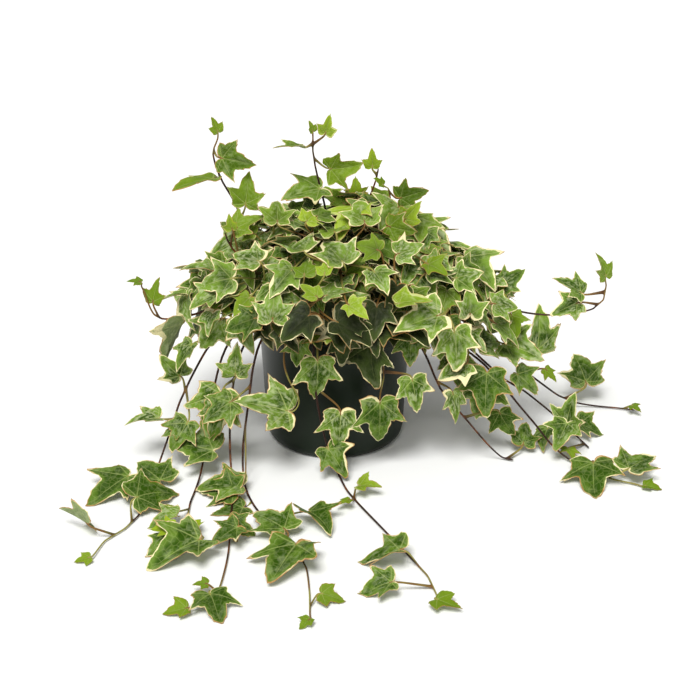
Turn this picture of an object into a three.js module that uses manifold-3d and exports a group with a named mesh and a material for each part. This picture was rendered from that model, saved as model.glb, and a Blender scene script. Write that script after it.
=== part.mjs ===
// Potted ivy. Millimetres, +Z up. The origin is the middle of the pot's base, +Y points to the back.
//
// The pot holds the soil, and every leafy stem stands in a hole of its own in the soil. A leafy stem
// is one solid: a tapered stem, with leaf stalks and lobed blades that grow from it.

import * as THREE from 'three';
import { mergeVertices } from 'three/addons/utils/BufferGeometryUtils.js';
import Module from 'manifold-3d';

const wasm = await Module();
wasm.setup();

const UP = new THREE.Vector3(0, 0, 1);
const point = (x, y, z) => new THREE.Vector3(x, y, z);

// Driving dimensions

const GAP = 0.3; // air kept between two pieces that touch on the real plant

const POT_HEIGHT = 110;
const RIM_RADIUS = 65;
const WALL_TOP_RADIUS = 63.6;
const WALL_FOOT_RADIUS = 57.6;
const COLLAR_HEIGHT = 12;
const WALL = 1.8;
const FOOT_OUTER_RADIUS = 51;
const FOOT_INNER_RADIUS = 45;
const FOOT_HEIGHT = 2.5;
const PAD_RADIUS = 13;
const CORNER_HEIGHT = 9;
const FLOOR = 4.6;
const POT_SIDES = 26;
const DRAIN_HOLES = 6;
const DRAIN_CIRCLE = 30;
const DRAIN_RADIUS = 3.6;

const SOIL_TOP = 97;
const SOIL_BUMP = 1.2;
const SOIL_SIDES = 18;
const ROOT_DEPTH = 19; // how far a stem stands in the soil
const EXIT_HEIGHT = 101; // a stem is upright up to here

const STALK_RADIUS = 0.85;
const STALK_LENGTH = 0.6; // of a leaf's stalk, in blade lengths
const JOINT_LENGTH = 3.2; // of stem that a stalk grows out of
const STALK_ROOT = 3.5; // of a stalk, wider than the rest
const STALK_FOOT = 0.9; // half width of a stalk's end inside the stem, where it is tested for room
const BLADE = 0.7; // thickness
const MIDRIB = 0.7; // half width of the blade where the stalk joins it
const FOLD = 0.2; // rise of the two halves from the midrib
const DROOP = 0.16; // drop of the tip

// The crown of the plant is round below its widest place and peaked above it, like a tent.
const CROWN_CENTRE = point(8, 0, 118);
const CROWN_AXES = point(136, 103, 97);
const CROWN_PEAK = 1.3; // exponent of its upper outline at the sides and the back: 2 is round, 1 straight
const CROWN_PEAK_FRONT = 1.7; // the same at the front
const CROWN_STEMS = 22;
const CROWN_STEM_REACH = 0.8;
const STEM_CLEARANCE = 1.4; // air round a stem of the crown, wide enough for the roots of its leaf stalks
const CROWN_ARCH = 22; // length of the end that arches over, on a stem that stands upright
const CROWN_LEAN = 0.9; // turn of that end away from the stem's own way, in radians
const CROWN_LEAVES = 160;
const CROWN_UPTURN = 0.85; // how much those leaves face up, next to how much they face out of the crown
const CROWN_SPREAD = 0.35; // how unevenly they face
const GOLDEN_ANGLE = Math.PI * (3 - Math.sqrt(5));

const TRIALS = 10; // places tried for a leaf before it is left out
const WANDER = 0.7; // how much further off each try may be
const CROWN_WANDER = 1.1;
const SHRINK = 0.015; // share by which the leaf gets shorter with each try
const CROWN_SHRINK = 0.03;
const FEET_TRIED = 4; // and places on the stem tried for each of them
const FLOOR_GAP = 0.4; // lowest a leaf or a stem comes to the surface that the pot stands on

// Stems that show, each by hand: where it stands in the soil, its route, its leaves

// A leaf is given by the place of its notch, where the stalk joins, the place of its tip, and the
// turn of its blade about the line between them. A young leaf has three lobes.
const leaf = (notch, tip, roll = 0, young = false) => ({
  notch: point(...notch),
  tip: point(...tip),
  roll,
  young,
});
const bud = (notch, tip, roll = 0) => leaf(notch, tip, roll, true);

const STEMS = [
  {
    name: 'trailing_stem_front',
    root: [-9, -49],
    route: [[-12, -58, 115], [-16, -69, 116], [-17, -75, 100], [-15, -75, 72], [-10, -75, 40], [-4, -73, 14],
      [4, -88, 2.4], [13, -120, 2], [30, -154, 2], [51, -200, 2], [69, -236, 2], [77, -271, 2]],
    leaves: [
      leaf([-16, -78, 98], [-15, -88, 65]),
      leaf([5, -77, 54], [5, -88, 25]),
      leaf([-4, -82, 24], [16, -98, 5], 25),
      leaf([5, -74, 120], [9, -82, 98], -15),
      bud([20, -116, 9], [37, -121, 14]),
      bud([13, -138, 6], [2, -146, 8]),
      leaf([50, -224, 12], [15, -216, 5]),
      leaf([43, -262, 9], [17, -266, 5]),
      bud([76, -279, 5], [92, -292, 4]),
    ],
  },
  {
    name: 'hanging_stem_front_left',
    root: [-26, -42],
    route: [[-32, -54, 114], [-38, -64, 115], [-41, -72, 100], [-37, -73, 82], [-26, -74, 64]],
    leaves: [
      leaf([-38, -80, 58], [-74, -90, 76], 10),
      leaf([-28, -78, 118], [-31, -84, 98]),
    ],
  },
  {
    name: 'hanging_stem_front_right',
    root: [24, -43],
    route: [[29, -55, 114], [34, -65, 115], [39, -73, 102], [40, -74, 84]],
    leaves: [
      leaf([37, -77, 64], [38, -86, 29]),
      leaf([63, -76, 84], [68, -84, 58]),
      leaf([30, -76, 115], [31, -86, 80], 15),
      leaf([55, -70, 120], [55, -75, 96]),
    ],
  },
  {
    name: 'trailing_stem_left_near',
    root: [-37, -33],
    route: [[-44, -43, 116], [-56, -55, 117], [-64, -64, 101], [-68, -74, 72], [-74, -82, 34], [-75, -92, 6],
      [-69, -122, 2], [-57, -151, 2], [-34, -192, 2], [-21, -223, 2], [-17, -261, 2], [-16, -297, 2]],
    leaves: [
      leaf([-84, -80, 66], [-108, -92, 54]),
      leaf([-76, -118, 11], [-111, -116, 12]),
      leaf([-38, -184, 9], [-62, -158, 14]),
      leaf([-22, -158, 8], [-2, -188, 5], -20),
      leaf([-28, -214, 9], [-46, -258, 5]),
      bud([-8, -272, 6], [10, -277, 5]),
      bud([-16, -303, 4], [-24, -312, 4]),
    ],
  },
  {
    name: 'trailing_stem_left_inner',
    root: [-45, -22],
    route: [[-55, -32, 113], [-65, -40, 113], [-76, -50, 100], [-83, -60, 71], [-86, -74, 37], [-84, -92, 6],
      [-81, -112, 2], [-81, -143, 2], [-81, -174, 2], [-79, -204, 2], [-82, -247, 2], [-86, -275, 2]],
    leaves: [
      leaf([-93, -60, 66], [-103, -72, 28]),
      bud([-80, -66, 84], [-81, -72, 108], 20),
      leaf([-74, -147, 8], [-100, -164, 4]),
      leaf([-83, -185, 9], [-60, -188, 7], 30),
      leaf([-89, -276, 6], [-78, -305, 4]),
      bud([-105, -290, 5], [-122, -295, 4]),
      bud([-92, -262, 8], [-102, -263, 11]),
    ],
  },
  {
    name: 'trailing_stem_left_middle',
    root: [-49, -11],
    route: [[-60, -18, 113], [-72, -25, 112], [-90, -36, 98], [-100, -50, 60], [-106, -60, 22],
      [-109, -86, 2.4], [-113, -118, 2], [-116, -150, 2], [-106, -180, 2]],
    leaves: [
      leaf([-102, -205, 7], [-137, -234, 4]),
      leaf([-126, -197, 6], [-144, -212, 4]),
      bud([-124, -165, 7], [-140, -167, 6]),
    ],
  },
  {
    name: 'trailing_stem_left_outer',
    root: [-50, 1],
    route: [[-62, -6, 113], [-76, -14, 112], [-100, -29, 98], [-115, -42, 76], [-128, -52, 51],
      [-139, -62, 19], [-148, -98, 2], [-151, -140, 2], [-160, -168, 2], [-177, -192, 2]],
    leaves: [
      leaf([-127, -46, 73], [-143, -54, 91]),
      leaf([-112, -42, 102], [-128, -52, 84], 30),
      leaf([-146, -56, 39], [-172, -62, 41], 60),
      leaf([-122, -66, 40], [-134, -78, 22]),
      leaf([-166, -107, 10], [-197, -135, 5]),
      leaf([-156, -140, 12], [-124, -121, 17]),
      leaf([-190, -182, 5], [-211, -162, 10], 60),
      bud([-184, -218, 4], [-195, -223, 4]),
    ],
  },
  {
    name: 'trailing_stem_right_near',
    root: [37, -33],
    route: [[47, -42, 114], [60, -50, 116], [72, -57, 103], [80, -62, 84], [88, -66, 68], [105, -66, 47],
      [120, -62, 26], [136, -56, 4], [149, -60, 2]],
    leaves: [
      leaf([96, -72, 70], [103, -84, 50]),
      leaf([137, -46, 39], [148, -52, 17], 40),
      leaf([158, -43, 9], [163, -23, 21]),
    ],
  },
  {
    name: 'trailing_stem_right_middle',
    root: [44, -23],
    route: [[58, -29, 114], [75, -34, 114], [111, -40, 93], [138, -46, 66], [152, -50, 48], [172, -50, 24],
      [187, -52, 3], [212, -79, 2], [227, -93, 2], [246, -101, 2]],
    leaves: [
      leaf([212, -83, 9], [206, -124, 5]),
      leaf([243, -93, 7], [270, -66, 9]),
      bud([252, -104, 5], [265, -109, 5]),
      leaf([125, -54, 70], [120, -66, 36], 25),
    ],
  },
  {
    name: 'trailing_stem_right_inner',
    root: [49, -12],
    route: [[64, -15, 114], [80, -18, 113], [112, -25, 89], [140, -26, 61], [164, -24, 45], [190, -20, 19],
      [206, -20, 3], [214, -38, 2]],
    leaves: [
      leaf([194, -36, 24], [199, -36, 52]),
      leaf([180, -24, 13], [172, -46, 5], 30),
      leaf([208, -14, 12], [231, -18, 9]),
      leaf([196, -51, 6], [197, -67, 5]),
      leaf([152, -28, 66], [172, -36, 54]),
    ],
  },
  {
    name: 'trailing_stem_right_far',
    root: [50, 2],
    route: [[65, 3, 114], [82, 3, 113], [122, 5, 93], [149, 12, 60], [177, 22, 34], [198, 34, 13],
      [220, 42, 2], [241, 38, 2], [262, 32, 2]],
    leaves: [
      leaf([220, 48, 22], [212, 74, 44]),
      leaf([180, 10, 52], [190, 4, 45]),
      bud([262, 28, 5], [271, 21, 5]),
      leaf([171, 2, 75], [172, 2, 114]),
      leaf([142, -18, 89], [175, -28, 84]),
    ],
  },
  {
    name: 'side_stem_left',
    root: [-37, -7],
    route: [[-50, -12, 126], [-78, -20, 131], [-107, -23, 121], [-127, -24, 115], [-144, -25, 115],
      [-151, -25, 123], [-154, -25, 135], [-158, -25, 145]],
    leaves: [
      bud([-158, -25, 148], [-168, -25, 153], 40),
      bud([-151, -28, 134], [-144, -27, 151]),
      leaf([-124, -20, 135], [-145, -24, 135], 70),
      leaf([-122, -32, 112], [-143, -38, 82], 60),
      leaf([-95, -46, 126], [-114, -48, 98], -30),
    ],
  },
  {
    name: 'side_stem_right',
    root: [38, -3],
    route: [[56, -4, 128], [80, -5, 140], [100, -6, 136], [121, -8, 127], [137, -10, 123], [158, -14, 115],
      [182, -16, 114], [207, -16, 117], [221, -14, 125], [224, -12, 140]],
    leaves: [
      leaf([200, -18, 126], [178, -26, 120], 15),
      leaf([203, -14, 134], [184, -14, 149]),
      leaf([223, -13, 148], [222, -13, 168]),
      leaf([139, -6, 138], [156, -8, 151]),
      leaf([146, -20, 116], [152, -28, 98]),
      leaf([128, -12, 134], [145, -22, 128]),
    ],
  },
  {
    name: 'upright_shoot_left',
    root: [-24, 3],
    route: [[-50, 2, 138], [-70, 0, 168], [-79, 0, 204], [-91, 0, 226], [-97, 0, 244], [-97, 0, 253],
      [-93, 0, 262]],
    leaves: [
      bud([-93, 0, 268], [-96, 0, 281], 50),
      leaf([-90, -4, 247], [-63, -10, 245], 20),
      leaf([-98, -5, 230], [-131, -14, 227], 70),
      leaf([-72, -6, 209], [-68, -2, 234]),
    ],
  },
  {
    name: 'upright_shoot_middle',
    root: [-5, 7],
    route: [[-5, 8, 135], [-4, 10, 171], [-8, 10, 202], [-13, 8, 224], [-17, 6, 246], [-17, 4, 262]],
    leaves: [
      bud([-7, 2, 266], [-3, 0, 281]),
      leaf([-27, -1, 256], [-48, -8, 262], 75),
      leaf([-3, 4, 235], [23, -4, 239], 70),
      leaf([-12, 4, 218], [-42, -12, 217], 40),
      bud([-17, 4, 267], [-20, 4, 276], 40),
    ],
  },
  {
    name: 'upright_shoot_back',
    root: [7, 17],
    route: [[10, 19, 135], [17, 20, 171], [26, 20, 198], [33, 18, 216], [36, 16, 231]],
    leaves: [
      bud([31, 15, 233], [32, 15, 248]),
      leaf([8, 14, 201], [-2, 19, 212]),
      leaf([25, 8, 199], [39, 8, 211]),
      leaf([18, 26, 203], [17, 26, 219]),
    ],
  },
  {
    name: 'upright_shoot_right',
    root: [19, 7],
    route: [[30, 8, 135], [42, 10, 166], [46, 10, 188], [46, 10, 206], [44, 9, 217]],
    leaves: [
      leaf([54, 6, 209], [76, 2, 218], 60),
      bud([40, 8, 220], [32, 6, 226], 40),
    ],
  },
  {
    name: 'upright_shoot_front_right',
    root: [22, -12],
    route: [[34, -16, 135], [45, -20, 162], [51, -22, 183], [54, -24, 197]],
    leaves: [
      bud([57, -24, 202], [68, -26, 218]),
      leaf([44, -34, 200], [64, -46, 197], 30),
    ],
  },
  {
    name: 'upright_shoot_front_left',
    root: [-21, -12],
    route: [[-38, -16, 136], [-59, -20, 158], [-76, -24, 169], [-85, -26, 182], [-88, -26, 192]],
    leaves: [
      bud([-88, -26, 192], [-90, -27, 202]),
      leaf([-81, -24, 190], [-61, -20, 207]),
    ],
  },
];

// Leaves of the crown that are given by hand: the ones in front. The stem is found by rule.
const CROWN_FRONT = [
  leaf([-3, -78, 124], [-25, -88, 118]),
  leaf([106, -68, 94], [84, -77, 82]),
  leaf([-70, -16, 194], [-88, -14, 200]),
  leaf([-56, -18, 198], [-62, 0, 216], 40),
  leaf([-43, -25, 200], [-41, -8, 220]),
  bud([-22, -36, 205], [-11, -22, 216]),
  leaf([3, -45, 203], [-11, -24, 214]),
  leaf([18, -43, 205], [16, -14, 226]),
  leaf([7, -75, 186], [-10, -54, 206]),
  leaf([35, -60, 190], [16, -58, 198]),
  leaf([-22, -77, 177], [-24, -62, 198]),
  bud([-7, -87, 181], [-5, -81, 194]),
  leaf([27, -75, 181], [-2, -88, 176]),
  leaf([32, -79, 179], [44, -95, 164]),
  bud([-13, -95, 165], [-25, -90, 178]),
  bud([-10, -92, 166], [10, -88, 178]),
  leaf([8, -101, 163], [20, -109, 150]),
  leaf([-48, -91, 144], [-48, -86, 172]),
  leaf([-22, -94, 146], [-49, -102, 126]),
  bud([51, -94, 159], [77, -90, 164]),
  leaf([82, -84, 144], [47, -100, 142]),
  leaf([0, -82, 150], [-14, -90, 128]),
  leaf([34, -80, 150], [30, -91, 124]),
  leaf([-62, -82, 141], [-89, -80, 131]),
  leaf([-60, -56, 179], [-84, -44, 184]),
  leaf([-28, -55, 193], [-49, -32, 206], 40),
  leaf([-80, -52, 167], [-111, -44, 158]),
  leaf([-100, -30, 160], [-125, -20, 150], 50),
  leaf([-95, -50, 150], [-112, -50, 134]),
  leaf([-30, -64, 178], [-44, -80, 164]),
  leaf([51, -58, 186], [72, -54, 191], 30),
  leaf([75, -55, 176], [91, -65, 168]),
  leaf([-3, -52, 194], [-29, -53, 200], 50),
  leaf([-68, -30, 187], [-56, -60, 184]),
  leaf([-70, -66, 156], [-88, -73, 140]),
  leaf([-46, -80, 154], [-24, -91, 165]),
  leaf([80, -60, 172], [104, -50, 174]),
  leaf([98, -46, 160], [124, -38, 166]),
  leaf([109, -60, 134], [112, -58, 158]),
  leaf([130, -42, 136], [152, -32, 130]),
  leaf([132, -40, 117], [150, -36, 96]),
  leaf([96, -76, 126], [98, -78, 92]),
  leaf([118, -66, 118], [144, -58, 92]),
  leaf([-86, -58, 146], [-116, -48, 142]),
];

// Shared small functions

// Seeded draws between 0 and 1, the same on every machine.
class Draws {
  constructor(seed) {
    this.state = 1 + (seed * 7919) % 2147483646;
    this.next();
  }

  next() {
    this.state = (this.state * 16807) % 2147483647;
    return this.state / 2147483647;
  }

  spread(width) {
    return width * (2 * this.next() - 1);
  }
}

const solidOf = (vertices, faces) => new wasm.Manifold(new wasm.Mesh({
  numProp: 3,
  vertProperties: Float32Array.from(vertices.flatMap((v) => [v.x, v.y, v.z])),
  triVerts: Uint32Array.from(faces.flat()),
}));

function solidOfGeometry(geometry) {
  const bare = geometry.clone();
  bare.deleteAttribute('normal');
  bare.deleteAttribute('uv');
  const merged = mergeVertices(bare, 1e-4);
  return new wasm.Manifold(new wasm.Mesh({
    numProp: 3,
    vertProperties: Float32Array.from(merged.attributes.position.array),
    triVerts: Uint32Array.from(merged.index.array),
  }));
}

function meshOf(name, solid, material) {
  const { vertProperties, triVerts } = solid.getMesh();
  const geometry = new THREE.BufferGeometry();
  geometry.setAttribute('position', new THREE.BufferAttribute(vertProperties, 3));
  geometry.setIndex(new THREE.BufferAttribute(triVerts, 1));
  geometry.computeVertexNormals();
  const mesh = new THREE.Mesh(geometry, material);
  mesh.name = name;
  return mesh;
}

// Rings of a tube along a list of centres: each has its two directions across.
function ringsAlong(centres, radii) {
  let side = point(1, 0, 0);
  return centres.map((centre, i) => {
    const [before, after] = [centres[Math.max(i - 1, 0)], centres[Math.min(i + 1, centres.length - 1)]];
    const along = after.clone().sub(before).normalize();
    side = side.clone().addScaledVector(along, -side.dot(along)).normalize();
    return { centre, side, over: along.cross(side), radius: radii[i] };
  });
}

const STEM_SIDES = 4;
const END = -1; // stands for the stem's end among its stretches

function ringCorners({ centre, side, over, radius }) {
  return Array.from({ length: STEM_SIDES }, (_, k) => {
    const angle = (2 * Math.PI * k) / STEM_SIDES;
    return centre.clone()
      .addScaledVector(side, radius * Math.cos(angle))
      .addScaledVector(over, radius * Math.sin(angle));
  });
}

// The skin between rings, closed at both ends. It leaves out the sides for which isOpen says so.
function skinRings(rings, vertices, faces, isOpen = () => false) {
  const n = STEM_SIDES;
  rings.forEach((ring) => vertices.push(...ringCorners(ring)));
  for (let i = 0; i < rings.length - 1; i += 1) {
    for (let k = 0; k < n; k += 1) {
      const a = i * n + k;
      const b = i * n + ((k + 1) % n);
      if (!isOpen(i, k, [a, a + n, b + n, b])) faces.push([a, b, b + n], [a, b + n, a + n]);
    }
  }
  faces.push([0, 2, 1], [0, 3, 2]);
  const end = [0, 1, 2, 3].map((k) => vertices.length - n + k);
  if (isOpen(END, 0, [end[0], end[3], end[2], end[1]])) return;
  faces.push([end[0], end[1], end[2]], [end[0], end[2], end[3]]);
}

function tube(centres, radii) {
  const vertices = [];
  const faces = [];
  skinRings(ringsAlong(centres, radii), vertices, faces);
  return solidOf(vertices, faces);
}

// Pot and soil

const wallRadius = (z) => THREE.MathUtils.lerp(WALL_FOOT_RADIUS, WALL_TOP_RADIUS, z / POT_HEIGHT);

function potSolid() {
  const collarFoot = POT_HEIGHT - COLLAR_HEIGHT;
  const profile = [
    [0, 0], [PAD_RADIUS, 0], [PAD_RADIUS + 2, FOOT_HEIGHT],
    [FOOT_INNER_RADIUS - 1, FOOT_HEIGHT], [FOOT_INNER_RADIUS, 0], [FOOT_OUTER_RADIUS, 0],
    [FOOT_OUTER_RADIUS + 3.6, 2], [wallRadius(0) - 0.6, CORNER_HEIGHT / 2],
    [wallRadius(CORNER_HEIGHT), CORNER_HEIGHT], [wallRadius(collarFoot), collarFoot],
    [RIM_RADIUS - 0.5, collarFoot + 0.8], [RIM_RADIUS, POT_HEIGHT - 1],
    [RIM_RADIUS - 0.8, POT_HEIGHT], [RIM_RADIUS - WALL - 0.8, POT_HEIGHT - 0.4],
    [wallRadius(collarFoot) - WALL, collarFoot - 4], [wallRadius(FLOOR) - WALL - 3, FLOOR + 2],
    [wallRadius(FLOOR) - WALL - 7, FLOOR], [0, FLOOR],
  ].map(([r, z]) => new THREE.Vector2(r, z));
  const lathe = new THREE.LatheGeometry(profile, POT_SIDES).rotateX(Math.PI / 2);
  let pot = solidOfGeometry(lathe);
  for (let k = 0; k < DRAIN_HOLES; k += 1) {
    const angle = (2 * Math.PI * (k + 0.5)) / DRAIN_HOLES;
    const drill = new THREE.CylinderGeometry(DRAIN_RADIUS, DRAIN_RADIUS, 12, 8).rotateX(Math.PI / 2)
      .translate(DRAIN_CIRCLE * Math.cos(angle), DRAIN_CIRCLE * Math.sin(angle), FLOOR / 2);
    pot = pot.subtract(solidOfGeometry(drill));
  }
  return pot;
}

// The soil follows the inside of the pot at a small gap. Its top is uneven.
function soilSolid(holes) {
  const draws = new Draws(11);
  const rings = [0, 18, 36, 54];
  const edge = wallRadius(SOIL_TOP) - WALL - GAP - 0.4;
  const foot = wallRadius(FLOOR) - WALL - 7 - GAP;
  const profile = [
    [0, FLOOR + GAP], [foot - 1, FLOOR + GAP], [foot + 3, FLOOR + GAP + 2.4], [edge - 0.2, SOIL_TOP - 5],
    [edge, SOIL_TOP - 1.6], ...rings.reverse().map((r) => [r, SOIL_TOP]),
  ].map(([r, z]) => new THREE.Vector2(r, z));
  const lathe = new THREE.LatheGeometry(profile, SOIL_SIDES).rotateX(Math.PI / 2);
  const bare = lathe.clone();
  bare.deleteAttribute('normal');
  bare.deleteAttribute('uv');
  const merged = mergeVertices(bare, 1e-4);
  const place = merged.attributes.position;
  for (let i = 0; i < place.count; i += 1) {
    if (place.getZ(i) > SOIL_TOP - 1) place.setZ(i, SOIL_TOP + draws.spread(SOIL_BUMP));
  }
  return solidOfGeometry(merged).subtract(wasm.Manifold.union(holes));
}

// Stems

// A place on the crown, or on a smaller copy of it: turned this far round, and this steep.
function crownPlace(turn, climb, size) {
  const peak = THREE.MathUtils.lerp(CROWN_PEAK, CROWN_PEAK_FRONT, Math.max(0, -Math.sin(turn)));
  const flat = Math.cos(climb);
  const up = Math.max(0, Math.sin(climb));
  const reach = size * (flat ** peak + up ** peak) ** (-1 / peak);
  const way = point(flat * Math.cos(turn), flat * Math.sin(turn), Math.sin(climb));
  return way.multiply(CROWN_AXES).multiplyScalar(climb < 0 ? size : reach).add(CROWN_CENTRE);
}

// A stem of the crown leaves the soil like a jet of a fountain: the lower it ends, the further out it
// stands. Its end is on a smaller copy of the crown.
function crownStem(index, trial) {
  const draws = new Draws(index * 20 + trial);
  const share = (index + 0.5) / CROWN_STEMS;
  const climb = THREE.MathUtils.degToRad(THREE.MathUtils.lerp(-4, 78, share * share * 0.35 + share * 0.65));
  const turn = index * GOLDEN_ANGLE + draws.spread(0.12 + 0.03 * trial);
  const end = crownPlace(turn, climb, CROWN_STEM_REACH);
  const stand = 6 + 33 * Math.cos(climb) ** 1.5;
  const root = [stand * Math.cos(turn), stand * Math.sin(turn)];
  const bend = (share2, lift) => [
    THREE.MathUtils.lerp(root[0], end.x, share2),
    THREE.MathUtils.lerp(root[1], end.y, share2),
    THREE.MathUtils.lerp(EXIT_HEIGHT, end.z, lift) + 12 * Math.cos(climb),
  ];
  const lean = turn + CROWN_LEAN;
  const over = CROWN_ARCH * Math.max(0.35, Math.sin(climb));
  const last = [end.x + over * Math.cos(lean), end.y + over * Math.sin(lean), end.z];
  return {
    name: `crown_stem_${String(index + 1).padStart(2, '0')}`,
    root,
    route: [bend(0.16, 0.4), bend(0.42, 0.72), bend(0.72, 0.95), [end.x, end.y, end.z], last],
    crown: true,
  };
}

// Centres and radii of a stem's rings, from its foot in the soil to its end.
function withRings(stem) {
  const [x, y] = stem.root;
  const exit = point(x, y, EXIT_HEIGHT);
  const knots = [exit, ...stem.route.map((p) => point(...p))];
  const curve = new THREE.CatmullRomCurve3(knots, false, 'catmullrom', 0.5);
  const steps = stem.crown ? 7 : stem.route.length + 2;
  const centres = [point(x, y, SOIL_TOP - ROOT_DEPTH), ...curve.getPoints(steps)];
  const thick = stem.crown ? 1.3 : 1.45;
  const radii = centres.map((_, i) => THREE.MathUtils.lerp(thick, 0.7, i / (centres.length - 1)));
  const rings = ringsAlong(centres, radii);
  return { ...stem, rings, feet: feetOf({ rings }), joints: [] };
}

// A ring between two others.
function between(ring, next, t) {
  return {
    centre: ring.centre.clone().lerp(next.centre, t),
    side: ring.side.clone().lerp(next.side, t).normalize(),
    over: ring.over.clone().lerp(next.over, t).normalize(),
    radius: THREE.MathUtils.lerp(ring.radius, next.radius, t),
  };
}

// The solids between one ring and the next.
function stretches({ rings }, margin = 0) {
  return rings.slice(1).map((ring, i) => {
    const vertices = [];
    const faces = [];
    skinRings([rings[i], ring].map((each) => ({ ...each, radius: each.radius + margin })), vertices, faces);
    return solidOf(vertices, faces);
  });
}

// Leaves

// Outline of the right half of a blade between the stalk and the tip, in blade lengths: basal lobe,
// bay, side lobe, bay. A young blade has no basal bay.
const OUTLINE = [[0.42, -0.1], [0.4, 0.13], [0.62, 0.44], [0.25, 0.44]];
const YOUNG_OUTLINE = [[0.38, -0.06], [0.56, 0.43], [0.22, 0.45]];

// Faces of the right half, as numbers in the list: stalk, outline, tip.
const FACES = [[0, 1, 2], [0, 2, 4], [2, 3, 4], [0, 4, 5]];
const YOUNG_FACES = [[0, 1, 2], [0, 2, 3], [0, 3, 4]];

// The stalk passes between the basal lobes and bends just behind them.
const neckOf = ({ notch, y, z, length }) => notch.clone()
  .addScaledVector(y, -0.14 * length - 0.6)
  .addScaledVector(z, -1);

// The skin of one leaf, blade and stalk. The stalk is a square tube that widens into the midrib. With
// a margin the leaf is grown by that much on all sides. A closed one ends at its foot. An open one
// ends at its neck, and gives back the four corners there.
function skinLeaf({ notch, x, y, z, length, young }, foot, closed, vertices, faces, margin = 0) {
  const outline = young ? YOUNG_OUTLINE : OUTLINE;
  const half = young ? YOUNG_FACES : FACES;
  const right = [[MIDRIB / length, 0], ...outline, [0, 1]];
  const left = right.slice(0, -1).map(([u, v]) => [-u, v]).reverse();
  const rim = [...right, ...left];
  const tip = right.length - 1;
  const n = rim.length;
  const first = vertices.length;
  const mirror = (i) => (i === tip ? i : n - 1 - i);
  const top = [...half, ...half.map((face) => face.map(mirror).reverse()), [0, tip, mirror(0)]];
  const place = ([u, v], lift) => {
    const out = v === 0 ? new THREE.Vector2(Math.sign(u), 0) : new THREE.Vector2(u, v - 0.25).normalize();
    return notch.clone()
      .addScaledVector(x, u * length + out.x * margin)
      .addScaledVector(y, v * length + out.y * margin)
      .addScaledVector(z, (FOLD * Math.abs(u) - DROOP * v * v) * length + lift);
  };
  vertices.push(...rim.map((p) => place(p, margin)), ...rim.map((p) => place(p, -BLADE - margin)));
  const add = (face) => faces.push(face.map((i) => i + first));
  top.forEach(add);
  top.forEach((face) => add(face.map((i) => i + n).reverse()));
  for (let i = 0; i < n - 1; i += 1) {
    add([i, i + n, i + n + 1]);
    add([i, i + n + 1, i + 1]);
  }
  // Corners of each ring in the order right top, left top, left bottom, right bottom.
  let ring = [0, n - 1, 2 * n - 1, n].map((i) => i + first);
  const reach = (STALK_RADIUS + margin) * Math.SQRT1_2;
  const neck = neckOf({ notch, x, y, z, length });
  const come = neck.clone().sub(foot).normalize();
  const rings = [[neck, come.clone().add(y).normalize(), reach]];
  if (closed) rings.push([foot, come, STALK_FOOT + margin / 2]);
  for (const [centre, way, wide] of rings) {
    const side = x.clone().addScaledVector(way, -x.dot(way)).normalize();
    const over = side.clone().cross(way);
    const next = [[1, 1], [-1, 1], [-1, -1], [1, -1]].map(([a, b]) => vertices.push(
      centre.clone().addScaledVector(side, a * wide).addScaledVector(over, b * wide),
    ) - 1);
    bridge(ring, next, faces);
    ring = next;
  }
  if (closed) faces.push([ring[0], ring[1], ring[2]], [ring[0], ring[2], ring[3]]);
  return ring;
}

// Four sides between one ring of four corners and the next.
function bridge(ring, next, faces) {
  for (let k = 0; k < 4; k += 1) {
    const m = (k + 1) % 4;
    faces.push([ring[k], ring[m], next[m]], [ring[k], next[m], next[k]]);
  }
}

function leafSolid(pose, foot, margin) {
  const vertices = [];
  const faces = [];
  skinLeaf(pose, foot, true, vertices, faces, margin);
  return solidOf(vertices, faces);
}

// A stem with its leaves in one skin: each stalk grows out of one side of a short stretch of stem.
function skinStem({ rings }, joints) {
  const stations = [];
  const atEnd = joints.filter((joint) => joint.stretch === END);
  const openings = atEnd.map((joint) => ({ ...joint, station: END }));
  rings.forEach((ring, i) => {
    stations.push(ring);
    const here = joints.filter((joint) => joint.stretch === i);
    if (here.length === 0) return;
    const share = JOINT_LENGTH / 2 / ring.centre.distanceTo(rings[i + 1].centre);
    for (const joint of here) openings.push({ ...joint, station: stations.length });
    for (const t of [0.5 - share, 0.5 + share]) stations.push(between(ring, rings[i + 1], t));
  });
  const vertices = [];
  const faces = [];
  skinRings(stations, vertices, faces, (station, side, corners) => {
    const opening = openings.find((each) => each.station === station && each.side === side);
    if (opening) opening.corners = corners;
    return Boolean(opening);
  });
  for (const { pose, centre, corners } of openings) {
    const ring = skinLeaf(pose, centre, false, vertices, faces);
    const turned = (turn) => ring.map((_, k) => corners[(k + turn) % 4]);
    const apartAt = (turn) => turned(turn).map((i, k) => vertices[i].distanceToSquared(vertices[ring[k]]));
    const span = (turn) => apartAt(turn).reduce((sum, each) => sum + each);
    const best = [0, 1, 2, 3].reduce((least, turn) => (span(turn) < span(least) ? turn : least));
    bridge(ring, turned(best), faces);
  }
  return { vertices, faces };
}

// Whether an edge of one triangle runs through the other.
const ray = new THREE.Ray();
const hit = new THREE.Vector3();
function cuts(triangle, other) {
  return triangle.some((from, k) => {
    const to = triangle[(k + 1) % 3];
    ray.set(from, to.clone().sub(from).normalize());
    return ray.intersectTriangle(...other, false, hit) !== null && hit.distanceTo(from) < to.distanceTo(from);
  });
}

function crossesItself({ vertices, faces }) {
  const triangles = faces.map((face) => face.map((i) => vertices[i]));
  const boxes = triangles.map((corners) => new THREE.Box3().setFromPoints(corners));
  return faces.some((face, i) => faces.some((other, j) => j > i
    && boxes[i].intersectsBox(boxes[j])
    && !face.some((corner) => other.includes(corner))
    && (cuts(triangles[i], triangles[j]) || cuts(triangles[j], triangles[i]))));
}

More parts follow.
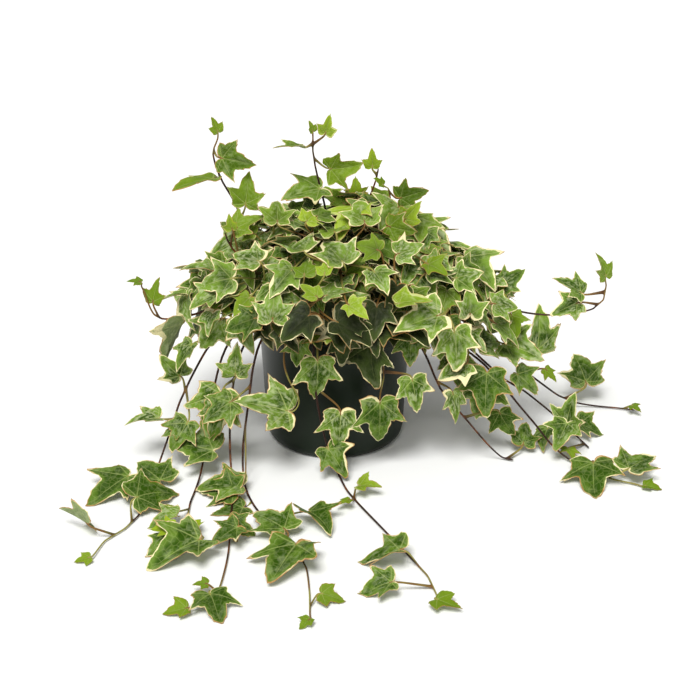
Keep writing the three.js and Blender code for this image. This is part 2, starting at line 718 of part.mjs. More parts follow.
// Where a leaf is on its given try: the first is the given place, later ones are near it.
function leafPose(given, number, trial) {
  const draws = new Draws(number * 100 + trial);
  const reach = trial === 0 ? 0 : 2 + (given.depth ? CROWN_WANDER : WANDER) * trial;
  const notch = given.notch.clone();
  const tip = given.tip.clone();
  for (const axis of ['x', 'y', 'z']) {
    const shift = draws.spread(reach);
    notch[axis] += shift;
    tip[axis] += shift + draws.spread(reach);
  }
  if (given.depth) {
    notch.addScaledVector(given.out, -given.depth * trial);
    tip.addScaledVector(given.out, -given.depth * trial);
  }
  const y = tip.clone().sub(notch);
  const length = y.length() * (1 - (given.depth ? CROWN_SHRINK : SHRINK) * trial);
  y.normalize();
  const facing = given.facing ?? (notch.z < 30
    ? point(0, -0.25, 0.97)
    : point(0.35 * (notch.x / CROWN_AXES.x), -0.75, 0.62));
  const z = facing.clone().addScaledVector(y, -facing.dot(y)).normalize();
  z.applyAxisAngle(y, THREE.MathUtils.degToRad(given.roll) + draws.spread(0.05 * reach));
  const x = y.clone().cross(z);
  const corners = [[0, 1, -DROOP], [0, 0, 0], ...OUTLINE.flatMap(([u, v]) => [[u, v, 0], [-u, v, 0]])];
  const lowest = Math.min(...corners.map(([u, v, w]) => notch.z + length * (u * x.z + v * y.z + w * z.z)));
  notch.z += Math.max(0, FLOOR_GAP + BLADE + 0.2 - lowest);
  return { notch, x, y, z, length, young: given.young };
}

// A stalk would run through its own blade if its foot were ahead of its neck and near the blade's
// plane.
function crosses(pose, foot) {
  const way = foot.clone().sub(neckOf(pose));
  const away = way.length();
  return way.dot(pose.y) > 0.1 * away && Math.abs(way.dot(pose.z)) < 0.5 * away;
}

// How near to its foot a blade can be: nearer at the stem's end, where no stem is in its way.
const nearest = (foot) => (foot.stretch === END ? 1.5 : 4);

// Places on a stem where a leaf can grow: the four sides of each stretch, and the stem's end.
function feetOf({ rings }) {
  const feet = [];
  for (let stretch = 1; stretch < rings.length - 1; stretch += 1) {
    const { centre, side, over } = between(rings[stretch], rings[stretch + 1], 0.5);
    for (let k = 0; k < STEM_SIDES; k += 1) {
      const angle = (2 * Math.PI * (k + 0.5)) / STEM_SIDES;
      const out = side.clone().multiplyScalar(Math.cos(angle)).addScaledVector(over, Math.sin(angle));
      feet.push({ stretch, side: k, centre, out });
    }
  }
  const [before, last] = rings.slice(-2);
  const ahead = last.centre.clone().sub(before.centre).normalize();
  feet.push({ stretch: END, side: 0, centre: last.centre, out: ahead });
  return feet;
}

// The few feet that suit a leaf best: free, turned to it, about a stalk's length away, behind the
// blade and, in the crown, further in.
function feetFor(given, number, candidates) {
  const pose = leafPose(given, number, 0);
  const found = [];
  for (const stem of candidates) {
    for (const foot of stem.feet) {
      const way = neckOf(pose).sub(foot.centre);
      const away = way.length();
      const turned = way.dot(foot.out) / away;
      if (foot.used || turned < 0.25 || away < nearest(foot) || crosses(pose, foot.centre)) continue;
      const ahead = Math.max(0, 0.2 * away - way.dot(pose.y));
      const outer = given.out ? Math.max(0, 8 - way.dot(given.out)) : 0;
      const score = Math.abs(away - STALK_LENGTH * pose.length) + ahead + 3 * outer + 10 * (1 - turned);
      if (score < 1.6 * pose.length + 20) found.push({ score, stem, foot });
    }
  }
  return found.sort((a, b) => a.score - b.score).slice(0, FEET_TRIED);
}

// The leaves of the crown that follow a rule: spread evenly over it, facing out and up.
function crownLeaf(index) {
  const draws = new Draws(index + 500);
  const share = (index + 0.5) / CROWN_LEAVES;
  const climb = Math.asin(THREE.MathUtils.lerp(0.97, -0.34, share));
  const turn = index * GOLDEN_ANGLE;
  const way = point(Math.cos(climb) * Math.cos(turn), Math.cos(climb) * Math.sin(turn), Math.sin(climb));
  const target = crownPlace(turn, climb, 1);
  const lowest = 84 + 44 * Math.max(0, -Math.sin(turn)) ** 2;
  if (target.z < lowest) return null;
  const out = way.clone().divide(CROWN_AXES).normalize();
  const facing = out.clone().addScaledVector(UP, CROWN_UPTURN)
    .add(point(draws.spread(CROWN_SPREAD), draws.spread(CROWN_SPREAD), draws.spread(CROWN_SPREAD)))
    .normalize();
  const down = UP.clone().negate().addScaledVector(facing, facing.z).normalize();
  const tipWay = down.applyAxisAngle(facing, draws.spread(1.2));
  const length = 30 + 12 * draws.next();
  const notch = target.clone().addScaledVector(tipWay, -0.4 * length);
  const tip = notch.clone().addScaledVector(tipWay, length);
  return { notch, tip, roll: 0, young: true, facing, out, depth: 2.2 };
}

// Placing: a leaf takes the first of its tries that is clear of everything placed before it

const taken = [];

function take(solid, role, stem) {
  taken.push({ solid, role, stem, box: solid.boundingBox() });
}

function apart(a, b) {
  return [0, 1, 2].some((k) => a.min[k] > b.max[k] || b.min[k] > a.max[k]);
}

// A whole leaf, down to its foot, is set against all but its own stem. On its own stem the roots of
// the stalks are side by side, so there only the outer parts count.
const ofOthers = (stem) => (other) => other.stem !== stem && other.role !== 'outer part';
const ofOwn = (stem) => (other) => other.stem === stem && other.role !== 'leaf';

function isFree(solid, counts) {
  const box = solid.boundingBox();
  return taken.every((other) => {
    if (!counts(other) || apart(box, other.box)) return true;
    const shared = solid.intersect(other.solid);
    const clear = shared.isEmpty();
    shared.delete();
    return clear;
  });
}

function placeLeaf(given, number, choices) {
  for (let trial = 0; trial < TRIALS; trial += 1) {
    const pose = leafPose(given, number, trial);
    const neck = neckOf(pose);
    for (const { stem, foot } of choices) {
      const away = foot.centre.distanceTo(neck);
      if (crosses(pose, foot.centre) || away < nearest(foot)) continue;
      const outer = foot.centre.clone().lerp(neck, Math.min(0.6, STALK_ROOT / away));
      const clear = isFree(leafSolid(pose, foot.centre, 2 * GAP), ofOthers(stem))
        && isFree(leafSolid(pose, outer, 2 * GAP), ofOwn(stem));
      const joint = { ...foot, pose };
      if (clear && !crossesItself(skinStem(stem, [...stem.joints, joint]))) {
        take(leafSolid(pose, foot.centre), 'leaf', stem);
        take(leafSolid(pose, outer), 'outer part', stem);
        stem.joints.push(joint);
        foot.used = true;
        return true;
      }
    }
  }
  return false;
}

const pot = potSolid();
take(pot, 'pot');
const stems = [];
const holes = [];
function placeStem(stem) {
  stems.push(stem);
  stretches(stem).forEach((solid) => take(solid, 'stem', stem));
  const [bottom, top] = stem.rings.map((ring) => ring.centre);
  const wide = stem.rings[0].radius + GAP * Math.SQRT2 + 0.1;
  const ends = [bottom.clone().addScaledVector(UP, -GAP), top.clone().addScaledVector(UP, 3)];
  holes.push(tube(ends, [wide, wide]));
}

for (const stem of STEMS.map(withRings)) {
  placeStem(stem);
}
for (let index = 0; index < CROWN_STEMS; index += 1) {
  const tries = Array.from({ length: TRIALS }, (_, trial) => withRings(crownStem(index, trial)));
  const found = tries.find((stem) => {
    const grown = stretches(stem, STEM_CLEARANCE);
    return grown.every((solid) => isFree(solid, ofOthers(null)));
  });
  if (found) placeStem(found);
}
const soil = soilSolid(holes);
take(soil, 'soil');

let number = 0;
const tryLeaf = (given, candidates) => {
  number += 1;
  placeLeaf(given, number, feetFor(given, number, candidates));
};

for (const stem of stems.filter((each) => !each.crown)) {
  for (const given of stem.leaves) tryLeaf(given, [stem]);
}
const crownStems = stems.filter((stem) => stem.crown);
for (const given of CROWN_FRONT) {
  const out = given.notch.clone().sub(CROWN_CENTRE).divide(CROWN_AXES).divide(CROWN_AXES).normalize();
  tryLeaf({ ...given, out, depth: 1.2 }, crownStems);
}
for (let index = 0; index < CROWN_LEAVES; index += 1) {
  const given = crownLeaf(index);
  if (given) tryLeaf(given, crownStems);
  else number += 1;
}

// Materials and scene

const POT_PLASTIC = new THREE.MeshStandardMaterial({ color: 0x2b2f2e, roughness: 0.55, metalness: 0 });
const SOIL_CRUMB = new THREE.MeshStandardMaterial({ color: 0x3a2c20, roughness: 1, metalness: 0 });
const LEAFY = new THREE.MeshStandardMaterial({ color: 0x6c8a4e, roughness: 0.6, flatShading: true });

const ivy = new THREE.Group();
ivy.name = 'potted_ivy';
ivy.add(meshOf('pot', pot, POT_PLASTIC));
ivy.add(meshOf('potting_soil', soil, SOIL_CRUMB));
for (const stem of stems) {
  const { vertices, faces } = skinStem(stem, stem.joints);
  ivy.add(meshOf(stem.name, solidOf(vertices, faces), LEAFY));
}

export default ivy;
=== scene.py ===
"""Potted ivy: a round plastic pot of soil, with leafy stems that stand up, arch over and trail.

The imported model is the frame. Every leafy stem of it is kept in form and grown again as a finer piece:
its stem and stalks are rounded, and each flat blade gives its place to a lobed, veined leaf.
"""

import math
import random
from collections import namedtuple

import bmesh
import bpy
import numpy as np
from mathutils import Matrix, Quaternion, Vector
from mathutils.kdtree import KDTree


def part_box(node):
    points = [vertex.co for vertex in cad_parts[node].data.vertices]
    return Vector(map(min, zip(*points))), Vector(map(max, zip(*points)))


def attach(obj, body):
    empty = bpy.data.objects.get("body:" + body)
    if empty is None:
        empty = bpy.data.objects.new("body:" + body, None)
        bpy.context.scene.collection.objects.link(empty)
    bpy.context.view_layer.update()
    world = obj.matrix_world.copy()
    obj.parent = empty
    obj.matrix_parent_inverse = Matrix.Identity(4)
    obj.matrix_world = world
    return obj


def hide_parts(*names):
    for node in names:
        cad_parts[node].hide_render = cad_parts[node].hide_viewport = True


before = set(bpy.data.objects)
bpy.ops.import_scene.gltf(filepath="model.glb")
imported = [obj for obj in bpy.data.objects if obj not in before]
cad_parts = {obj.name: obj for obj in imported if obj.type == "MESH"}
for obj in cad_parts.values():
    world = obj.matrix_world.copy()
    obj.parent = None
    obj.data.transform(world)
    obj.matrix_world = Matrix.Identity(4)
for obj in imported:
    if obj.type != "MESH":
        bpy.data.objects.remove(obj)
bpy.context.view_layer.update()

bl_info = {
    "name": "Potted Ivy",
    "version": (1, 0, 0),
    "blender": (4, 5, 0),
    "location": "3D View > Sidebar > Ivy",
    "description": "Pot, soil, stems and leaves of a trailing ivy, round the packed frame",
    "category": "Add Mesh",
}

MM = 0.001
FLOOR_GAP = 1.1 * MM  # lowest place of a leaf's upper side
STEM_GAP = 0.1 * MM  # lowest place of a stem
BODY = "root"
POT_NODE = "pot"
SOIL_NODE = "potting_soil"
LEAFY_NODES = sorted(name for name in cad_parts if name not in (POT_NODE, SOIL_NODE))

POT_LOW, POT_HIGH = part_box(POT_NODE)
SOIL_LOW, SOIL_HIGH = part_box(SOIL_NODE)
POT_HEIGHT = POT_HIGH.z
RIM_RADIUS = (POT_HIGH.y - POT_LOW.y) / 2

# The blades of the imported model: their thickness, the width between the stalk's corners, the rise of
# the halves and the drop of the tip in blade lengths, and how many corners their outlines have.
FRAME_BLADE = 0.7 * MM
FRAME_MIDRIB = 1.4 * MM
FRAME_FOLD = 0.2
FRAME_DROOP = 0.16
FRAME_CORNERS = {9: "three lobes", 11: "five lobes"}
FRAME_TOLERANCE = FRAME_BLADE / 150  # by which an edge may differ from the thickness

# The crown of the plant is round below its widest place and peaked above it, like a tent. An exponent
# of 2 would make its upper outline round, and 1 straight.
CROWN_CENTRE = Vector((8, 0, 118)) * MM
CROWN_AXES = Vector((136, 103, 97)) * MM
CROWN_PEAK = 1.3
GOLDEN_ANGLE = math.pi * (3 - math.sqrt(5))

# The leaves that are added to the crown lie in an outer and an inner layer, as shares of its size, from
# a little below its widest place, by the sine of the climb, to its top. None lies in the pot or before
# it. They face out and to the sky, with some scatter, and swing to both sides of hanging tip down.
OUTER_REACH = (0.88, 1.04)
INNER_REACH = (0.55, 0.85)
LOWEST_CLIMB = -0.3
CLIMB_SPAN = 1.29
LOWEST_LEAF = 0.78  # pot heights
LOWEST_IN_FRONT = 1.1  # pot heights
CLEAR_OF_RIM = 1.2  # rim radii
OUTWARD = 0.7
SKYWARD = Vector((0, -0.2, 0.75))
SCATTER = 0.5
SWING = 1.4  # radians
LONGEST_STALK = 45 * MM
FULL_LIGHT = 0.93  # share of the crown's size at which a leaf is in full light
DARKENING = 0.3  # share of the crown's size over which it grows dark
SKY_LIGHT = 0.4  # share of that dark which light from above takes away at the top
SHADED = 0.85  # shade of a leaf behind the dark ones

# Heights of leaves in pot heights: those below the first lie on the floor, the crown's are paler above
# the second, and those above the third are on the young shoots.
ON_FLOOR = 0.3
PALE_CROWN = 1.3
SHOOTS = 1.75
YOUNG_SIZE = 21 * MM  # smaller leaves are young
LOBED_SIZE = 24 * MM  # larger ones mostly have five lobes

# The camera of the photograph, which is square.
PHOTO_SIDE = 700
SENSOR = 36  # mm
NEARER_BY_HEIGHT = 0.5  # how much nearer a leaf counts for each length that it is higher

# Leaves that are bright lime green in the photograph, and leaves in the deep shade under the front of
# the crown, by a pixel near the middle of each. The frontmost leaf in reach of it is meant. The leaves
# that are added to the crown are in the shade too, where they are in reach of a dark one.
LIME_PIXELS = [
    (329, 124), (328, 270), (314, 287), (351, 304), (416, 298), (316, 338), (305, 214), (408, 216),
    (361, 486), (225, 230), (372, 160), (360, 225),
]
DARK_PIXELS = [
    (330, 320), (370, 318), (372, 350), (345, 335), (300, 338), (392, 330), (350, 360), (384, 344),
    (404, 346), (330, 348), (264, 326), (385, 305),
]
PICK_REACH = 15  # pixels
SHADE_REACH = 18  # pixels
MIDDLE = 0.4  # blade lengths from the notch to the middle of a leaf

# More leaves that the photograph shows, each by the pixels of its notch and its tip, and how lime it is.
MORE_LEAVES = [
    ((213, 450), (168, 441), 0), ((234, 491), (196, 481), 0), ((243, 508), (210, 520), 0),
    ((237, 527), (210, 541), 0.1), ((176, 516), (144, 518), 0.1), ((171, 530), (150, 526), 0.7),
    ((160, 480), (134, 455), 0.2), ((195, 527), (201, 517), 0.9), ((179, 428), (162, 437), 0.1),
    ((567, 423), (556, 445), 0), ((487, 373), (483, 417), 0), ((452, 355), (460, 387), 0.1),
    ((470, 300), (448, 318), 0), ((217, 405), (214, 436), 0),
]
STALK_OFFSET = Vector((0, -6, 5)) * MM  # from a stem to the notch of such a leaf
LYING = Vector((0, -0.3, 0.95))  # the way that it faces on the floor
HANGING = Vector((0, -0.75, 0.66))  # and higher up
LYING_HEIGHT = 25 * MM

# A leaf's place: the notch where its stalk ends, its right, its way to the tip, the way that its upper
# side faces, and its length.
Pose = namedtuple("Pose", "notch right forward up size")


def linear(hex_colour):
    """An sRGB hex colour as linear red, green and blue."""
    parts = [int(hex_colour[i:i + 2], 16) / 255 for i in (1, 3, 5)]
    return tuple(c / 12.92 if c <= 0.04045 else ((c + 0.055) / 1.055) ** 2.4 for c in parts)


# Settings


def colour(name, description, hex_colour):
    return bpy.props.FloatVectorProperty(
        name=name, description=description, default=linear(hex_colour), subtype="COLOR", size=3,
        min=0, max=1)


def length(name, description, millimetres):
    return bpy.props.FloatProperty(
        name=name, description=description, default=millimetres * MM, unit="LENGTH", subtype="DISTANCE")


def angle(name, description, degrees):
    return bpy.props.FloatProperty(
        name=name, description=description, default=math.radians(degrees), subtype="ANGLE")


def number(name, description, value, least=0):
    return bpy.props.FloatProperty(name=name, description=description, default=value, min=least)


def count(name, description, value, least=0):
    return bpy.props.IntProperty(name=name, description=description, default=value, min=least)


class IvyPotSettings(bpy.types.PropertyGroup):
    wall: length("Wall", "Thickness of the pot's wall", 1.8)
    collar: length("Collar", "Height of the band under the rim", 12)
    wall_top: length("Wall at the top", "Radius of the wall where it meets the rim", 63.6)
    wall_foot: length("Wall at the foot", "Radius of the wall where it meets the base", 57.6)
    pad: length("Pad", "Radius of the flat pad in the middle of the base", 13)
    base_rise: length("Base rise", "Height of the base over the pad and the foot ring", 2.5)
    ring_inside: length("Ring inside", "Inner radius of the foot ring", 45)
    ring_outside: length("Ring outside", "Outer radius of the foot ring", 51)
    floor: length("Floor", "Height of the floor inside the pot", 4.6)
    holes: count("Holes", "Drain holes in the base", 6, least=1)
    hole: length("Hole", "Radius of a drain hole", 3.6)
    hole_circle: length("Hole circle", "Radius of the circle that the drain holes lie on", 30)
    bevel: length("Bevel", "Width of the rounding of the pot's edges", 0.35)
    sides: count("Sides", "Faces round the pot", 96, least=24)
    plastic: colour("Plastic", "Colour of the moulded plastic", "#152013")
    scuff: colour("Scuff", "Colour of the dulled, dusty plastic", "#1b251e")


class IvySoilSettings(bpy.types.PropertyGroup):
    crumbs: count("Crumbs", "Loose crumbs on the soil", 340)
    crumb: length("Crumb", "Radius of a middling crumb", 1.7)
    unevenness: length("Unevenness", "Rise and fall of the soil's surface", 1.1)
    peat: colour("Peat", "Colour of the moist peat", "#2e2119")
    fibre: colour("Fibre", "Colour of the dry fibre in it", "#6b5138")


class IvyStemSettings(bpy.types.PropertyGroup):
    swelling: length("Swelling", "Added to the stems' radius after they are rounded", 0.18)
    stalk_end: length("Stalk end", "How far a stalk runs on under its blade", 1.8)
    bark: colour("Bark", "Colour of the woody stem", "#301b12")
    young_bark: colour("Young bark", "Colour of the reddish skin on it", "#70401f")
    stalk: colour("Stalk", "Colour of a leaf's stalk", "#8f8a45")


class IvyLeafSettings(bpy.types.PropertyGroup):
    wave: number("Wave", "Rise of the margin's waves, in blade lengths", 0.045)
    tilt: angle("Tilt", "How far the leaves turn out of their planes", 11)
    upturn: angle("Upturn", "How far the crown's leaves turn towards the sky", 22)
    jag: number("Jag", "Unevenness of the rim, as a share of its radius", 0.05)
    vein: number("Vein", "Depth of the main veins, in blade lengths", 0.012)
    thickness: number("Thickness", "Thickness of the blade, in blade lengths", 0.012, least=0.004)
    inner: count("Inner leaves", "Leaves inside the crown, in the shade of the outer ones", 190)
    outer: count("Outer leaves", "Smaller leaves between the large ones of the crown", 260)
    smallest: length("Smallest leaf", "Length of the smallest of these leaves", 17)
    largest: length("Largest leaf", "Length of the largest of these leaves", 29)
    deep: colour("Deep green", "Colour along the middle of the blade", "#304d06")
    fresh: colour("Fresh green", "Colour of the rest of the blade", "#7e9e38")
    grey: colour("Grey green", "Colour of the streaks in the blade", "#b8c292")
    cream: colour("Cream", "Colour of the margin", "#f0e6b2")
    tan: colour("Tan", "Colour of the dry line round the margin", "#a66f2e")
    lime: colour("Lime", "Colour of the brightest young leaves", "#a3ba26")
    young: colour("Young green", "Colour of the other young leaves", "#64800e")
    # Painted shade: the colour that shaded leaves and their margins darken towards
    shade: colour("Shade", "Colour of the leaves inside the crown", "#1d1f16")
    vein_colour: colour("Veins", "Colour of the veins", "#b3c072")


class IvyStageSettings(bpy.types.PropertyGroup):
    elevation: angle("Elevation", "Angle by which the camera looks down", 25)
    distance: length("Distance", "From the camera to the point that it looks at", 1600)
    lens: number("Lens", "Focal length in mm", 97.5, least=1)
    aim: bpy.props.FloatVectorProperty(
        name="Aim", description="Point that the camera looks at", default=(0.0128, 0, 0.075),
        size=3, subtype="TRANSLATION", unit="LENGTH")
    lamp: number("Lamp", "Strength of the light from above", 3.25)
    lamp_size: angle("Lamp size", "How wide that light is, which softens its shadows", 26)
    lamp_place: bpy.props.FloatVectorProperty(
        name="Lamp place", description="Where that light comes from", default=(-0.15, -0.64, 1), size=3,
        subtype="DIRECTION")
    sky: number("Sky", "Strength of the light all round", 0.41)
    floor: length("Floor", "Length of the floor's sides, wide enough to hide its edge", 200_000)
    paper: colour("Paper", "Colour of the floor", "#f4f4f2")
    fibre: colour("Paper fibre", "Colour of the fibres in it", "#e6e6e4")


SETTINGS = {
    "ivy_pot": IvyPotSettings,
    "ivy_soil": IvySoilSettings,
    "ivy_stems": IvyStemSettings,
    "ivy_leaves": IvyLeafSettings,
    "ivy_stage": IvyStageSettings,
}


# Small helpers


def select_only(obj):
    bpy.ops.object.select_all(action="DESELECT")
    obj.select_set(True)
    bpy.context.view_layer.objects.active = obj


def start_edit(obj):
    select_only(obj)
    bpy.ops.object.mode_set(mode="EDIT")


def end_edit():
    bpy.ops.object.mode_set(mode="OBJECT")
    return bpy.context.object


def add_modifier(obj, kind, **settings):
    """Adds a modifier with its settings and applies it."""
    select_only(obj)
    modifier = obj.modifiers.new(kind.title(), kind)
    for name, value in settings.items():
        setattr(modifier, name, value)
    bpy.ops.object.modifier_apply(modifier=modifier.name)


def turned(name, profile, sides):
    """A body made of rings: a circle is extruded from one (radius, height) of the profile to the next."""
    bpy.ops.object.select_all(action="DESELECT")
    bpy.ops.mesh.primitive_circle_add(vertices=sides, radius=profile[0][0], fill_type="NGON")
    obj = bpy.context.object
    obj.name = name
    bpy.ops.object.mode_set(mode="EDIT")
    bpy.ops.mesh.select_all(action="SELECT")
    bpy.ops.transform.translate(value=(0, 0, profile[0][1]))
    for (radius, height), (next_radius, next_height) in zip(profile, profile[1:]):
        bpy.ops.mesh.extrude_region_move(
            TRANSFORM_OT_translate={"value": (0, 0, next_height - height)})
        share = next_radius / radius
        bpy.ops.transform.resize(value=(share, share, 1), center_override=(0, 0, next_height))
    bpy.ops.mesh.select_all(action="SELECT")
    bpy.ops.mesh.normals_make_consistent(inside=False)
    return end_edit()


def joined(objects, name):
    """Several objects as one."""
    select_only(objects[0])
    for obj in objects:
        obj.select_set(True)
    bpy.ops.object.join()
    whole = bpy.context.object
    whole.name = name
    whole.data.name = name
    return whole


def linked(name, mesh):
    obj = bpy.data.objects.new(name, mesh)
    bpy.context.scene.collection.objects.link(obj)
    return obj


def finish_piece(obj, slot, *nodes):
    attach(obj, BODY)
    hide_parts(*nodes)


# Materials

# Inputs are given by name or by number. A MapRange has its value at 0, the range that this comes from at
# 1 and 2, and the range that it goes to, which is 0 to 1 unless given, at 3 and 4. A Mix of colours has
# the share of the second at 0, the colours at 6 and 7, and its result at output 2. A Math node has its
# numbers at 0, 1 and 2.
STEP = {"interpolation_type": "SMOOTHSTEP"}
COLOURS = {"data_type": "RGBA"}
OWN_PLACE = "Object"


def set_inputs(node, inputs):
    """Gives inputs of a node a number, a colour or the output of another node."""
    for key, value in inputs.items():
        socket = node.inputs[key]
        if isinstance(value, bpy.types.NodeSocket):
            node.id_data.links.new(value, socket)
        elif socket.type == "RGBA":
            socket.default_value = (*value, 1)
        else:
            socket.default_value = value


def add_node(tree, kind, inputs, output=0, **settings):
    """Adds a node with its settings and inputs, and returns one of its outputs."""
    node = tree.nodes.new("ShaderNode" + kind)
    for name, value in settings.items():
        setattr(node, name, value)
    set_inputs(node, inputs)
    return node.outputs[output]


def new_material(name):
    """A material, its tree and shader, and the place of each point on the piece."""
    material = bpy.data.materials.new(name)
    material.use_nodes = True
    tree = material.node_tree
    return material, tree, tree.nodes["Principled BSDF"], add_node(tree, "TexCoord", {}, OWN_PLACE)


def patches(place, size, detail=3):
    """The inputs of a noise whose patches are about this many metres across."""
    return {"Vector": place, "Scale": 0.5 / size, "Detail": detail}


def moulded_polypropylene(settings):
    """Injection-moulded polypropylene: a dark satin skin with a faint orange peel, dusty in places."""
    material, tree, shader, place = new_material("moulded_polypropylene")
    dust = add_node(tree, "TexNoise", patches(place, 22 * MM, 6))
    dust = add_node(tree, "MapRange", {0: dust, 1: 0.5, 2: 0.72, 3: 0, 4: 0.35}, **STEP)
    skin = add_node(tree, "Mix", {0: dust, 6: settings.plastic, 7: settings.scuff}, 2, **COLOURS)
    gloss = add_node(tree, "MapRange", {0: dust, 1: 0, 2: 0.35, 3: 0.38, 4: 0.55})
    peel = add_node(tree, "TexNoise", patches(place, 1.6 * MM, 2))
    relief = add_node(tree, "Bump", {"Height": peel, "Distance": 0.03 * MM})
    set_inputs(shader, {
        "Base Color": skin, "Roughness": gloss, "IOR": 1.49, "Specular IOR Level": 0.2, "Normal": relief})
    return material


def moist_peat(settings):
    """Moist peat with dry fibres: dark, rough and crumbly."""
    material, tree, shader, place = new_material("moist_peat")
    fibre = add_node(tree, "TexNoise", patches(place, 1.5 * MM, 6))
    fibre = add_node(tree, "MapRange", {0: fibre, 1: 0.52, 2: 0.66}, **STEP)
    crumb = add_node(tree, "Mix", {0: fibre, 6: settings.peat, 7: settings.fibre}, 2, **COLOURS)
    grain = add_node(tree, "TexNoise", patches(place, 0.8 * MM, 5))
    relief = add_node(tree, "Bump", {"Height": grain, "Distance": 0.4 * MM})
    set_inputs(shader, {
        "Base Color": crumb, "Roughness": 0.95, "Specular IOR Level": 0.2, "Normal": relief})
    return material


def ivy_bark(settings):
    """The skin of a climber's stem: dark, reddish in places, and on the leaf stalks yellow-green or
    reddish."""
    material, tree, shader, place = new_material("ivy_bark")
    young = add_node(tree, "TexNoise", patches(place, 7 * MM))
    young = add_node(tree, "MapRange", {0: young, 1: 0.48, 2: 0.68}, **STEP)
    woody = add_node(tree, "Mix", {0: young, 6: settings.bark, 7: settings.young_bark}, 2, **COLOURS)
    green = add_node(tree, "Attribute", {}, "Fac", attribute_name="stalk")
    green = add_node(tree, "MapRange", {0: green, 1: 0.15, 2: 0.75}, **STEP)
    red = add_node(tree, "TexNoise", patches(place, 18 * MM, 2))
    red = add_node(tree, "MapRange", {0: red, 1: 0.46, 2: 0.6, 3: 0, 4: 0.75}, **STEP)
    stalk = add_node(tree, "Mix", {0: red, 6: settings.stalk, 7: settings.young_bark}, 2, **COLOURS)
    skin = add_node(tree, "Mix", {0: green, 6: woody, 7: stalk}, 2, **COLOURS)
    grain = add_node(tree, "TexNoise", patches(place, 0.7 * MM))
    relief = add_node(tree, "Bump", {"Height": grain, "Distance": 0.05 * MM})
    set_inputs(shader, {
        "Base Color": skin, "Roughness": 0.5, "Specular IOR Level": 0.25, "Normal": relief})
    return material


# What the leaves' mesh tells their material
LEAF_MARKS = ("across", "along", "edge", "under", "young", "lime", "tone", "shade")
LEAF_SHIFT = 60  # how far apart the patterns of the palest and the greenest leaf lie
VEIN_HALF_WIDTHS = (0.026, 0.006)  # at the notch and at the tips, in blade lengths
STREAKS_MEET = 0.3  # blade lengths behind the notch
STREAKS_AROUND = 5  # to a radian
STREAKS_OUT = 4  # to a blade length
NET_CELLS = 8.5  # to a blade length


def vein_lines(tree, across, along):
    """1 on the main veins, which run from the notch to the tips of the lobes, and 0 off them."""
    across = add_node(tree, "Math", {0: across}, operation="ABSOLUTE")
    nearest = across
    for tip in (SIDE_TIP, BASAL_TIP):
        sine, cosine = Vector(tip).normalized()
        along_part = add_node(tree, "Math", {0: along, 1: sine}, operation="MULTIPLY")
        off = add_node(tree, "Math", {0: across, 1: cosine}, operation="MULTIPLY")
        off = add_node(tree, "Math", {0: off, 1: along_part}, operation="SUBTRACT")
        off = add_node(tree, "Math", {0: off}, operation="ABSOLUTE")
        out = add_node(tree, "Math", {0: along, 1: cosine}, operation="MULTIPLY")
        out = add_node(tree, "Math", {0: across, 1: sine, 2: out}, operation="MULTIPLY_ADD")
        back = add_node(tree, "Math", {0: out, 1: -1}, operation="MULTIPLY")
        line = add_node(tree, "Math", {0: off, 1: back}, operation="MAXIMUM")
        nearest = add_node(tree, "Math", {0: nearest, 1: line}, operation="MINIMUM")
    way = add_node(tree, "CombineXYZ", {0: across, 1: along})
    away = add_node(tree, "VectorMath", {0: way}, "Value", operation="LENGTH")
    wide, fine = VEIN_HALF_WIDTHS
    width = add_node(tree, "MapRange", {0: away, 1: 0, 2: 0.95, 3: wide, 4: fine}, **STEP)
    return add_node(tree, "MapRange", {0: nearest, 1: 0, 2: width, 3: 1, 4: 0}, **STEP)


def streaks(tree, across, along, tone):
    """Noise drawn out along the ways from the notch to the rim, another on each leaf."""
    ahead = add_node(tree, "Math", {0: along, 1: STREAKS_MEET}, operation="ADD")
    around = add_node(tree, "Math", {0: across, 1: ahead}, operation="ARCTAN2")
    around = add_node(tree, "Math", {0: around, 1: STREAKS_AROUND}, operation="MULTIPLY")
    aside = add_node(tree, "Math", {0: across}, operation="ABSOLUTE")
    out = add_node(tree, "Math", {0: along}, operation="ABSOLUTE")
    out = add_node(tree, "Math", {0: out, 1: aside}, operation="ADD")
    out = add_node(tree, "Math", {0: out, 1: STREAKS_OUT}, operation="MULTIPLY")
    leaf = add_node(tree, "Math", {0: tone, 1: LEAF_SHIFT}, operation="MULTIPLY")
    place = add_node(tree, "CombineXYZ", {0: around, 1: out, 2: leaf})
    return add_node(tree, "TexNoise", {"Vector": place, "Scale": 1.6, "Detail": 4})


def vein_net(tree, across, along, tone):
    """1 on the minor veins, which part the blade into small cells, and 0 off them."""
    leaf = add_node(tree, "Math", {0: tone, 1: LEAF_SHIFT}, operation="MULTIPLY")
    place = add_node(tree, "CombineXYZ", {0: across, 1: along, 2: leaf})
    away = add_node(
        tree, "TexVoronoi", {"Vector": place, "Scale": NET_CELLS}, "Distance", feature="DISTANCE_TO_EDGE")
    return add_node(tree, "MapRange", {0: away, 1: 0.01, 2: 0.1, 3: 1, 4: 0}, **STEP)


